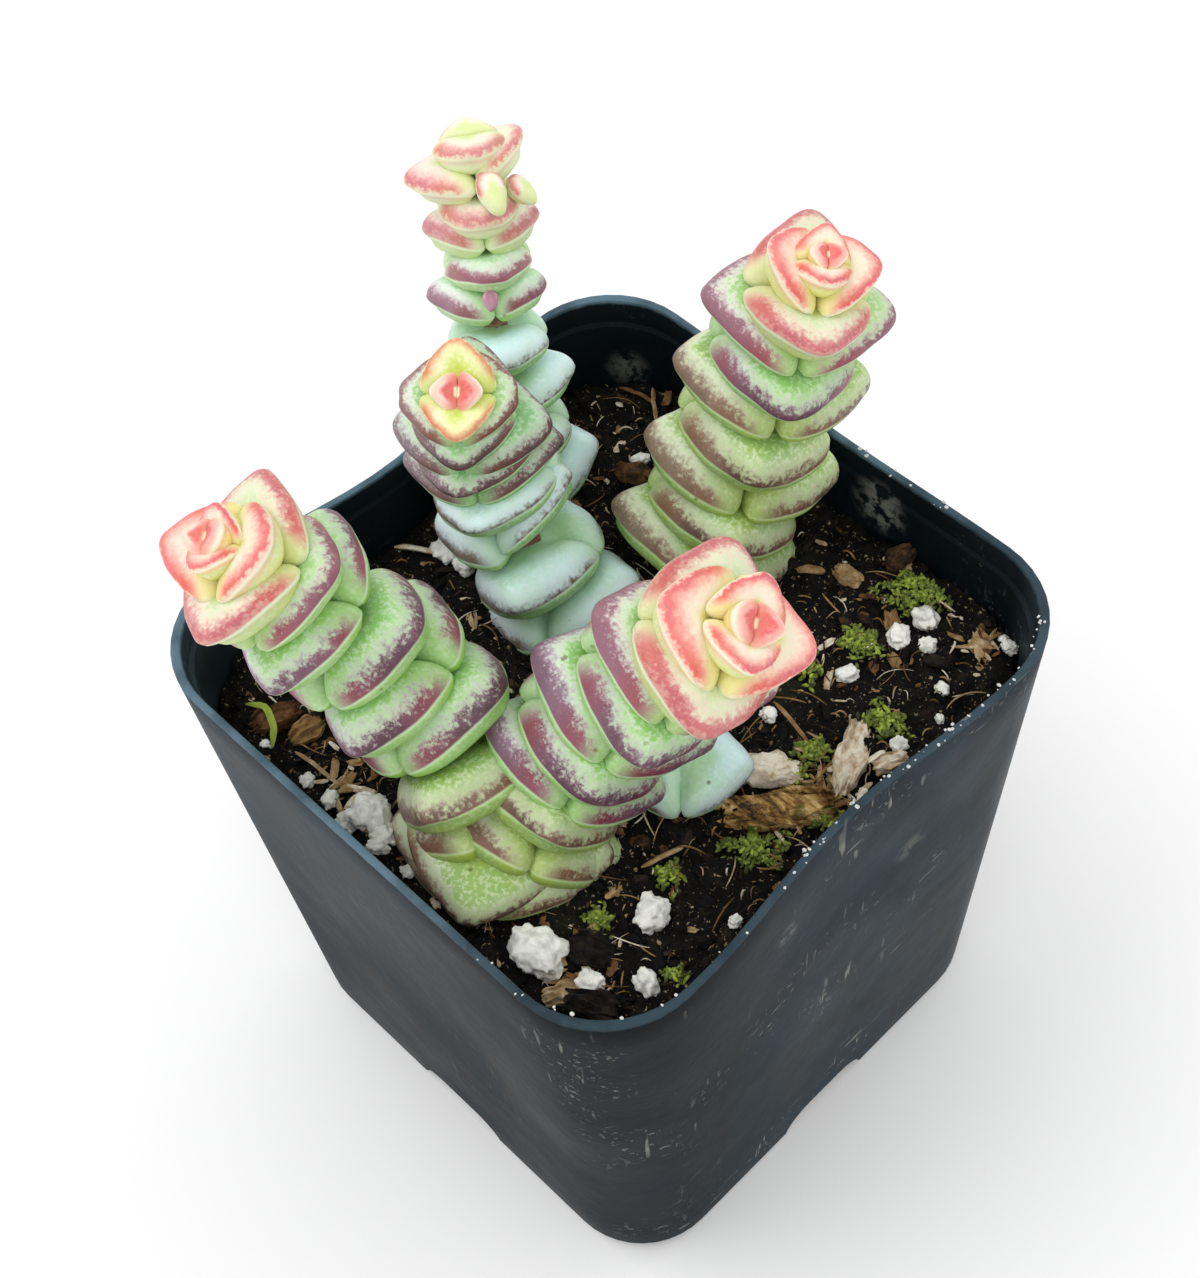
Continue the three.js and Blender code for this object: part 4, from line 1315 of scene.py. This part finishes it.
class JADE_OT_fibres(bpy.types.Operator):
    """Thin roots, straws and twigs lying on the soil"""

    bl_idname = "jade.fibres"
    bl_label = "Fibres and straws"

    # Points along a fibre
    POINTS = 8
    # Lengths, widths and bend of the fibres
    SHORT = (0.5, 1.5)
    LONG = (1.5, 4)
    SHORT_SHARE = 0.75
    WIDTH = (0.03, 0.09)
    BEND = 0.7
    # How thin a fibre is at its ends
    END_SHARE = 0.3

    def execute(self, context):
        pot = context.scene.jade_pot
        settings = context.scene.jade_soil
        dice = random.Random(8)
        start_clean()
        rod, faces = rod_shape(5, 9)
        copies = []
        for _ in range(settings.fibres):
            start = on_soil(dice, pot, 2.4)
            reach = dice.uniform(*(self.SHORT if dice.random() < self.SHORT_SHARE else self.LONG))
            turn = dice.uniform(0, 2 * math.pi)
            bend = dice.uniform(-self.BEND, self.BEND)
            width = dice.uniform(*self.WIDTH)
            share = np.linspace(0, 1, self.POINTS)[:, None]
            angle = turn + bend * share
            spots = start[:2] + reach * share * np.hstack([np.cos(angle), np.sin(angle)])
            if np.abs(spots).max() > SOIL_REACH:
                continue
            lift = dice.uniform(0.1, 0.6)
            shade = dice.choice([dice.uniform(0.2, 0.4), dice.uniform(0.5, 0.75), dice.uniform(0.7, 1.0)])
            copies.append((self.lay(rod, spots, width, lift), faces, shade))
        for x1, y1, x2, y2, width, shade in STRAWS:
            spots = np.linspace((x1, y1), (x2, y2), self.POINTS)
            spots[3] += dice.uniform(-0.2, 0.2)
            copies.append((self.lay(rod, spots, width / 3, 0.25), faces, shade))
        build_piece("soil_fibres", copies, litter_material("dry_fibre", settings), "bark", angle=60)
        self.sprout(rod, faces, context)
        return {"FINISHED"}

    def lay(self, rod, spots, width, lift):
        """A rod laid along the soil, a little humped and thin at its ends, in metres."""
        humps = lift * np.sin(np.linspace(0, math.pi, len(spots)))
        points = [above_soil(*spot, LITTER_LIFT + width + hump) for spot, hump in zip(spots, humps)]
        radii = np.full(len(spots), width)
        radii[[0, -1]] *= self.END_SHARE
        return follow(rod, points, radii) * MM

    def sprout(self, rod, faces, context):
        """The green bent sprout at the left rim."""
        corners = np.array(GREEN_SPROUT)
        halves = np.arange(0, len(corners) - 0.5, 0.5)
        spots = np.column_stack([np.interp(halves, np.arange(len(corners)), axis) for axis in corners.T])
        copies = [(self.lay(rod, spots, 0.32, 0.8), faces, 0.9)]
        build_piece("green_sprout", copies, moss_material(context.scene.jade_soil), "leaf", angle=60)


class JADE_OT_perlite(bpy.types.Operator):
    """Perlite: knobbly white grains, one modelled and the rest copied"""

    bl_idname = "jade.perlite"
    bl_label = "Perlite"

    # How high the middle of a grain lies, as a share of its size
    LIFT = 0.28
    # Knobs and pits: size and waves
    KNOBS = ((0.22, 2.2), (0.07, 5.5))

    def execute(self, context):
        settings = context.scene.jade_soil
        dice = random.Random(21)
        material = perlite_material(settings)
        start_clean()
        fine = [lump_shape(4, 0.42, 1.1, seed) for seed in (1, 4, 7)]
        knobs = [self.knobbly(places) for places, _ in fine]
        low, high = (np.array(corner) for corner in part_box("perlite_lump"))
        big = knobs[0] * (high - low) / 2 * np.array([1.0, 0.95, 1.0]) + (low + high) / 2
        large = [(big, fine[0][1], 0)]
        build_piece("perlite_large", large, material, "perlite", "perlite_lump", angle=50)
        copies = []
        for x, y, size in PERLITE:
            kind = dice.randrange(3)
            stretch = np.array([1.0, *spread_out(dice, (0.7, 1.0), (0.6, 0.85))])
            shape = turned(knobs[kind] * stretch * size / 2, dice)
            copies.append(((shape + above_soil(x, y, self.LIFT * size)) * MM, fine[kind][1], 0))
        build_piece("perlite_grains", copies, material, "perlite", angle=50)
        return {"FINISHED"}

    def knobbly(self, places):
        """Adds small round knobs and pits to a lump."""
        shaped = []
        for place in places:
            spot = Vector(place)
            knob, pit = (size * noise.voronoi(spot * waves)[0][0] for size, waves in self.KNOBS)
            shaped.append(place * (1.04 - knob - pit))
        return np.array(shaped)


class JADE_OT_bark(bpy.types.Operator):
    """Mossy bark chip and smaller flakes: split blocks with ragged ends and long grain"""

    bl_idname = "jade.bark"
    bl_label = "Bark"

    # Length, width and height of the large chip, its turn, and how far the small ones lean
    CHIP = (9.0, 3.2, 2.3)
    CHIP_TURN = 47
    LEAN = 0.35

    def execute(self, context):
        settings = context.scene.jade_soil
        dice = random.Random(14)
        start_clean()
        slab, faces = self.slab_shape()
        low, high = (np.array(corner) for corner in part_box("bark_chip"))
        chip = self.shaped(slab, self.CHIP, 3) @ rotation(math.radians(self.CHIP_TURN))
        large = [(chip * MM + (low + high) / 2, faces, 0)]
        build_piece("bark_large", large, bark_material(), "bark", "bark_chip", angle=50)
        copies = []
        for i, (x, y, turn, long, wide, high, shade) in enumerate(BARK_FLAKES):
            lean = rotation(dice.uniform(-self.LEAN, self.LEAN), "X")
            flake = self.shaped(slab, (long, wide, high), 10 + i) @ lean @ rotation(math.radians(turn))
            copies.append(((flake + above_soil(x, y, LITTER_LIFT + high * 0.3)) * MM, faces, shade))
        build_piece("bark_flakes", copies, litter_material("bark_litter", settings), "bark", angle=28)
        return {"FINISHED"}

    def slab_shape(self):
        """A block one long, wide and high, with soft edges and many faces."""
        bpy.ops.mesh.primitive_cube_add(size=1)
        bpy.ops.object.mode_set(mode="EDIT")
        bpy.ops.mesh.select_all(action="SELECT")
        bpy.ops.mesh.bevel(offset=0.16, segments=2)
        bpy.ops.mesh.select_all(action="SELECT")
        bpy.ops.mesh.subdivide(number_cuts=5)
        bpy.ops.object.mode_set(mode="OBJECT")
        return take_shape()

    def wave(self, *place):
        """Smooth noise at a place."""
        return noise.noise(Vector(place))

    def shaped(self, slab, size, seed):
        """A flake: ragged ends, ridges along its length, thinner at the rims."""
        long, _, high = size
        shape = slab * np.array(size)
        for i, (x, y, z) in enumerate(shape):
            ragged = self.wave(y * 2.1, z * 2, seed) + 0.9 * self.wave(y * 5, z * 5, seed)
            ridge = self.wave(x * 0.35, y * 2.6, seed + 5) + 0.7 * self.wave(x, y * 6, seed)
            end = abs(x) / (long / 2)
            slim = 1 - 0.35 * end**2
            sideways = slim * (1 + 0.5 * self.wave(x * 0.9, z, seed + 9))
            shape[i] = x * (1 + 0.32 * ragged * end), y * sideways, z * slim + 0.45 * high * ridge
        return shape


class JADE_OT_moss(bpy.types.Operator):
    """Cushions of moss: one round leaflet modelled, the rest copied"""

    bl_idname = "jade.moss"
    bl_label = "Moss"

    LEAFLET = (1.7, 0.7, 0.4)
    LEAFLET_SIZES = (0.13, 0.34)
    CUSHION_HEIGHT = 0.7
    LOBES = 0.35

    def execute(self, context):
        settings = context.scene.jade_soil
        dice = random.Random(31)
        start_clean()
        bpy.ops.mesh.primitive_ico_sphere_add(subdivisions=1, radius=1)
        leaflet, faces = take_shape()
        leaflet = leaflet * np.array(self.LEAFLET)
        copies = []
        for x, y, spread, count in MOSS:
            start = dice.uniform(0, 2 * math.pi)
            for _ in range(count):
                away = dice.random() ** 0.6
                angle = dice.uniform(0, 2 * math.pi)
                lobe = math.sin(2 * angle + start) + math.sin(5 * angle + x)
                away_from_middle = away * spread * (1 + self.LOBES * lobe)
                east = x + away_from_middle * math.cos(angle)
                north = y + away_from_middle * math.sin(angle)
                if max(abs(east), abs(north)) > SOIL_REACH:
                    continue
                lean = rotation(dice.uniform(-1.0, 0.2), "Y")
                spin = rotation(dice.uniform(0, 2 * math.pi))
                dome = self.CUSHION_HEIGHT * (1 - away**2) * dice.uniform(0.4, 1)
                spot = above_soil(east, north, 0.3 + dome)
                shape = leaflet * dice.uniform(*self.LEAFLET_SIZES) @ lean @ spin
                # Partly each leaflet's own tone at random and partly painted light: higher leaflets are
                # painted lighter and the low ones between them darker, as painted shade
                shade = dice.uniform(0.0, 0.65) + 0.5 * dome
                copies.append(((shape + spot) * MM, faces, shade))
        build_piece("moss", copies, moss_material(settings), "leaf", angle=60)
        return {"FINISHED"}


# Stems


def curve_points(path, count):
    """Points along a cubic curve in millimetres, from the soil to the tip."""
    t = np.linspace(0, 1, count)[:, None]
    a, b, c, d = (np.array(point, float) for point in path)
    return (1 - t) ** 3 * a + 3 * (1 - t) ** 2 * t * b + 3 * (1 - t) * t**2 * c + t**3 * d


def along(path, down):
    """Point and upward direction at a distance down from the tip, straight on below the path."""
    points = curve_points(path, 401)
    steps = np.linalg.norm(np.diff(points, axis=0), axis=1)
    from_foot = np.concatenate([[0], np.cumsum(steps)])
    total = from_foot[-1]
    at = max(0.0, total - down)
    below, point, above = (
        np.array([np.interp(np.clip(at + shift, 0, total), from_foot, axis) for axis in points.T])
        for shift in (-0.05, 0, 0.05)
    )
    up = above - below
    up /= np.linalg.norm(up)
    return point - up * max(0.0, down - total), up


def across(up, turn):
    """Direction across the stem, turned about it from the +X side."""
    east = np.array([1.0, 0, 0]) - up * up[0]
    east /= np.linalg.norm(east)
    north = np.cross(up, east)
    return east * math.cos(turn) + north * math.sin(turn)


class JADE_OT_stems(bpy.types.Operator):
    """Woody stems: a rod bent along each branch, swollen in gentle waves along it"""

    bl_idname = "jade.stems"
    bl_label = "Stems"

    RINGS = 110
    SIDES = 18
    # Swellings along a stem: size, waves and shift
    SWELLS = ((0.1, 90, 0), (0.05, 37, 1))

    def execute(self, context):
        material = stem_material(context.scene.jade_leaf)
        start_clean()
        places, faces = rod_shape(self.SIDES, self.RINGS)
        for node, branches in STEMS.items():
            copies = [(self.bent(places, BRANCHES[name]), faces, 0) for name in branches]
            build_piece(f"{node}_bark", copies, material, "stem", node, angle=60)
        return {"FINISHED"}

    def bent(self, places, branch):
        """The rod along one branch, in metres."""
        points = curve_points(branch["path"], 60)
        foot = points[0] - np.array([0, 0, STEM_DEPTH])
        buried = foot + (points[0] - foot) * np.array([[0], [0.33], [0.66]])
        points = np.concatenate([buried, points[:-(branch["solid"] + 1)]])
        share = np.linspace(0, 1, len(points))
        swell = 1 + sum(size * np.sin(share * waves + shift) for size, waves, shift in self.SWELLS)
        radii = STEM_RADIUS * mix(1, STEM_TIP_SHARE, share) * swell
        return follow(places, points, radii) * MM


# Leaves


def leaf_model():
    """A ball whose points are numbered by their angle around it and their place on its section."""
    bpy.ops.mesh.primitive_uv_sphere_add(segments=LEAF_SEGMENTS, ring_count=LEAF_RINGS, radius=1)
    places, faces = take_shape()
    section = np.arccos(np.clip(places[:, 2], -1, 1)) / math.pi * 2
    even = np.arctan2(places[:, 1], places[:, 0])
    # The points crowd together at the tip and at the rounded ends
    angle = even + 0.12 * np.sin(2 * even) - 0.09 * np.sin(4 * even)
    return {"angle": angle, "section": section, "faces": faces}


def leaf_shape(model, leaf, fullness):
    """Places in metres and point values of one leaf."""
    angle = model["angle"]
    section = model["section"]
    dice = random.Random(leaf["seed"])
    from_tip = np.degrees(np.abs(angle))
    rim = mix(through(RIM, from_tip), 0.5, leaf["plain"]) + leaf["join"] * smooth_step(125, 180, from_tip)
    blunt = YOUNG_TIP * (1 - leaf["age"]) + leaf["blunt"]
    rim = rim * (1 - blunt * np.exp(-((from_tip / TIP_SPREAD) ** 2)))
    waves = [dice.uniform(0, 6.28) for _ in range(3)]
    broad, narrow = RIM_WAVES
    rim = rim * (1 + broad * np.sin(3 * angle + waves[0]) + narrow * np.sin(7 * angle + waves[1]))
    belly = through(BELLY, from_tip) * (1 - YOUNG_BELLY * (1 - leaf["age"]))
    belly = mix(1, belly, smooth_step(1.0, 1.25, section))
    out = through([(s, o) for s, o, _ in SECTION], section)
    thick = through([(s, t) for s, _, t in SECTION], section)
    reach = leaf["reach"] * fullness * dice.uniform(0.98, 1.02)
    radius = reach * out * rim * belly
    x = LEAF_MIDDLE * reach + radius * np.cos(angle)
    y = radius * np.sin(angle) * leaf["width"]
    spacing = np.where(thick > 0, leaf["above"], leaf["below"])
    z = thick * spacing
    z += TOP_WAVE * reach * np.sin(3 * angle + waves[2]) * out**2
    keel = np.exp(-((y / (KEEL_WIDTH * reach)) ** 2)) * smooth_step(0.55, 1, out) * (section < 1.3)
    z += leaf["keel"] * keel * leaf["above"]
    lift = math.radians(leaf["lift"] + dice.uniform(-LIFT_SPREAD, LIFT_SPREAD))
    x, z = x * math.cos(lift) - z * math.sin(lift) * 0.6, z * math.cos(lift) + x * math.sin(lift)
    z = z + END_LIFT * math.sin(lift) * np.abs(y)
    local = np.column_stack([x, y, z])
    basis = np.column_stack([leaf["side"], np.cross(leaf["up"], leaf["side"]), leaf["up"]])
    places = local @ basis.T + leaf["point"]
    around = angle * rim * reach + dice.uniform(0, 500)
    shared = np.ones(len(angle))
    values = [section, around, from_tip / 105, leaf["age"] * shared, outer_side(places, leaf["point"])]
    return places * MM, values


def pair_leaves(pair):
    """The two opposite leaves of a pair, turned slightly at random."""
    dice = random.Random(pair["seed"])
    leaves = []
    for i in range(2):
        turn = pair["turn"] + math.pi * i + math.radians(dice.uniform(-3, 3))
        change = LEAF_CHANGES.get((*pair["key"], i), {})
        leaves.append({
            **pair, "side": across(pair["up"], turn), "seed": f"{pair['seed']} {i}",
            "lift": change.get("lift", pair["lift"]), "blunt": change.get("blunt", 0), "plain": 0,
            **{key: pair[key] * change.get(key, 1) for key in ("reach", "width", "below")},
        })
    return leaves


def outer_side(places, point):
    """How much each point faces away from the plant's middle towards -X and -Y, from 0 to 1."""
    away = places - point
    heading = (-away[:, 0] * 0.75 - away[:, 1] * 0.65) / np.maximum(np.linalg.norm(away, axis=1), 1e-6)
    return smooth_step(-0.2, 0.9, heading)


def lay_out(name, branch):
    """All pairs of a branch from the tip down."""
    spacings = branch["spacings"]
    gaps = spacings + ([CROTCH_DROP] if branch["joined"] else [])
    pairs = []
    down = 0.0
    for i in range(len(gaps) + 1):
        grown = min(max((i - FIRST_FULL) / (len(spacings) - FIRST_FULL), 0), 1)
        point, up = along(branch["path"], down)
        crown = branch["crown"][i] if i < len(branch["crown"]) else 1
        reach = mix(*branch["reach"], grown) * crown
        thickest = THICKEST * reach
        gap = gaps[i] if i < len(gaps) else gaps[i - 1]
        ages = branch.get("ages", [])
        age = ages[i] if i < len(ages) else min(max((i - AGE_FROM) / AGE_SPAN + branch["start"], 0), 1)
        pairs.append({
            "point": point, "up": up, "turn": math.radians(branch["turn"] + 90 * (i % 2)), "reach": reach,
            "lift": branch["lifts"][i] if i < len(branch["lifts"]) else branch["lift"],
            "above": max(min(thickest, gaps[max(0, i - 1)]), CROWN_HEIGHT * reach),
            "below": CROWN_DEPTH[i] * reach if i < len(CROWN_DEPTH) else min(thickest, gap),
            "width": mix(*LEAF_WIDTH, age), "join": OLD_JOIN * age, "keel": 0.06,
            "age": age, "seed": f"{name} {i}", "key": (name, i),
        })
        down += gap
    return pairs


class JADE_OT_leaves(bpy.types.Operator):
    """Leaf pairs: a ball shaped into a fleshy leaf, copied and fitted for every leaf"""

    bl_idname = "jade.leaves"
    bl_label = "Leaf pairs"

    def execute(self, context):
        settings = context.scene.jade_leaf
        start_clean()
        self.model = leaf_model()
        self.fullness = settings.fullness
        self.materials = {
            key: leaf_material(f"leaf_{key}", finish, settings) for key, finish in LEAF_FINISHES.items()
        }
        last = {}
        for name, branch in BRANCHES.items():
            pairs = lay_out(name, branch)
            last[name] = pairs[-1]
            heart = branch["solid"] - 1
            if heart:
                self.make(f"{name}_heart", pairs[:heart], "bud", "young_leaf")
            bud = pairs[heart:branch["solid"]]
            self.make(f"{name}_bud_leaves", bud, branch["finish"], "young_leaf", f"{name}_bud")
            lower_from, lower = LOWER_FINISH.get(name, (len(pairs), None))
            for i in range(branch["solid"], len(branch["spacings"]) + 1):
                finish = lower if i >= lower_from else branch["finish"]
                self.make(f"{name}_leaves_{i}", [pairs[i]], finish, "leaf", f"{name}_pair_{i}")
        crotch = [last["front_left"], last["front_right"]]
        self.make("fork_leaves_1", crotch, "low", "leaf", "fork_pair_1")
        for i, (node, low) in enumerate(LOW_PAIRS.items()):
            up = np.array(low["up"], float)
            up /= np.linalg.norm(up)
            pair = {
                "point": np.array(low["at"]), "up": up, "turn": math.radians(low["turn"]),
                "reach": low["reach"], "lift": low["lift"], "above": LOW_SPACING, "below": LOW_SPACING,
                "width": LEAF_WIDTH[1], "join": OLD_JOIN, "keel": 0.04, "age": 1.0, "seed": f"low {i}",
                "key": (node, 0),
            }
            finish = "bare" if node == "shoot_pair" else "low"
            self.make(node.replace("pair", "leaves"), [pair], finish, "leaf", node)
        for i, bud in enumerate(SIDE_BUDS):
            self.side_bud(f"side_bud_{i}", *bud)
        return {"FINISHED"}

    def side_bud(self, name, branch, down, turn, out, reach, width, finish, age):
        """One small leaf that looks out and up from a branch, its tip upward."""
        point, up = along(BRANCHES[branch]["path"], down)
        outward = across(up, math.radians(turn))
        facing = (outward + up) / math.sqrt(2)
        tip = (up - outward) / math.sqrt(2)
        leaf = {
            "point": point + outward * out - tip * LEAF_MIDDLE * reach, "up": facing, "side": tip,
            "reach": reach, "lift": 0, "above": 0.4 * reach, "below": 0.8 * reach, "width": width,
            "join": 0.15, "blunt": 0, "plain": 1, "keel": 0.0, "age": age, "seed": name,
        }
        self.build(name, [leaf], finish, "young_leaf")

    def make(self, name, pairs, finish, slot, *nodes):
        """One piece from one or more pairs."""
        self.build(name, [leaf for pair in pairs for leaf in pair_leaves(pair)], finish, slot, *nodes)

    def build(self, name, leaves, finish, slot, *nodes):
        """One piece from a list of leaves."""
        shapes = [leaf_shape(self.model, leaf, self.fullness) for leaf in leaves]
        copies = [(places, self.model["faces"], values) for places, values in shapes]
        build_piece(name, copies, self.materials[finish], slot, *nodes, kinds=LEAF_VALUES, angle=75)


# Stage


class JADE_OT_stage(bpy.types.Operator):
    """Pale floor, soft light and the camera"""

    bl_idname = "jade.stage"
    bl_label = "Floor, light and camera"

    FLOOR_SIZE = 6
    # What the lamps look at
    AIM = (0, 0, 0.05)
    # Large soft lamps: place in metres, width in metres, share of the light
    LAMPS = [((-0.35, -0.25, 0.75), 0.7, 1.0), ((0.5, -0.35, 0.55), 0.6, 0.45), ((0.1, 0.6, 0.6), 0.6, 0.35)]

    def execute(self, context):
        settings = context.scene.jade_stage
        start_clean()
        bpy.ops.mesh.primitive_plane_add(size=self.FLOOR_SIZE)
        floor = name_new("floor")
        floor.data.materials.append(floor_material(settings))
        context.scene.view_settings.view_transform = "Standard"
        self.light_up(context.scene, settings)
        self.set_camera(context.scene)
        return {"FINISHED"}

    def light_up(self, scene, settings):
        """Even pale surroundings and large lamps that look at the pot."""
        world = bpy.data.worlds.new("pale_room")
        world.use_nodes = True
        background = world.node_tree.nodes["Background"]
        background.inputs["Color"].default_value = (1, 1, 1, 1)
        background.inputs["Strength"].default_value = settings.sky
        scene.world = world
        for i, (place, size, share) in enumerate(self.LAMPS):
            lamp = bpy.data.lights.new(f"lamp_{i}", "AREA")
            lamp.shape = "DISK"
            lamp.size = size
            lamp.energy = settings.light * share
            holder = bpy.data.objects.new(f"lamp_{i}", lamp)
            holder.location = place
            aim = Vector(self.AIM) - Vector(place)
            holder.rotation_euler = aim.to_track_quat("-Z", "Y").to_euler()
            scene.collection.objects.link(holder)

    def set_camera(self, scene):
        """Camera at the photograph's place."""
        azimuth = math.radians(CAMERA_AZIMUTH)
        elevation = math.radians(CAMERA_ELEVATION)
        roll = math.radians(CAMERA_ROLL)
        level = Vector((math.cos(azimuth), math.sin(azimuth), 0))
        flat_back = Vector((math.sin(azimuth), -math.cos(azimuth), 0))
        back = flat_back * math.cos(elevation) + Vector((0, 0, math.sin(elevation)))
        above = back.cross(level)
        right = level * math.cos(roll) + above * math.sin(roll)
        up = above * math.cos(roll) - level * math.sin(roll)
        place = back * CAMERA_DISTANCE + right * CAMERA_SHIFT[0] + up * CAMERA_SHIFT[1]
        lens = bpy.data.cameras.new("camera")
        lens.sensor_width = SENSOR
        lens.lens = CAMERA_FOCAL * SENSOR / IMAGE_HEIGHT
        lens.clip_start = 0.01
        camera = bpy.data.objects.new("camera", lens)
        turn = Matrix((right, up, back)).transposed().to_4x4()
        camera.matrix_world = Matrix.Translation(place * MM) @ turn
        scene.collection.objects.link(camera)
        scene.camera = camera


OPERATORS = (
    JADE_OT_pot, JADE_OT_rim_crust, JADE_OT_soil, JADE_OT_crumbs, JADE_OT_fibres, JADE_OT_perlite,
    JADE_OT_bark, JADE_OT_moss, JADE_OT_stems, JADE_OT_leaves, JADE_OT_stage,
)
SETTINGS = {
    "jade_pot": JadePotSettings,
    "jade_soil": JadeSoilSettings,
    "jade_leaf": JadeLeafSettings,
    "jade_stage": JadeStageSettings,
}


class JADE_PT_panel(bpy.types.Panel):
    """Lists the settings and the pieces"""

    bl_idname = "JADE_PT_panel"
    bl_label = "Jade Necklace"
    bl_space_type = "VIEW_3D"
    bl_region_type = "UI"
    bl_category = "Jade Necklace"

    def draw(self, context):
        for key, group in SETTINGS.items():
            box = self.layout.box()
            settings = getattr(context.scene, key)
            for name in group.__annotations__:
                box.prop(settings, name)
        for operator in OPERATORS:
            self.layout.operator(operator.bl_idname)


def register():
    """Registers the settings, operators and panel."""
    for key, group in SETTINGS.items():
        bpy.utils.register_class(group)
        setattr(bpy.types.Scene, key, bpy.props.PointerProperty(type=group))
    for kind in (*OPERATORS, JADE_PT_panel):
        bpy.utils.register_class(kind)


def unregister():
    """Removes what register added."""
    for kind in reversed((*OPERATORS, JADE_PT_panel)):
        bpy.utils.unregister_class(kind)
    for key, group in reversed(SETTINGS.items()):
        delattr(bpy.types.Scene, key)
        bpy.utils.unregister_class(group)


def main():
    """Builds every piece in order."""
    register()
    for operator in OPERATORS:
        group, name = operator.bl_idname.split(".")
        getattr(getattr(bpy.ops, group), name)()


if __name__ == "__main__":
    main()
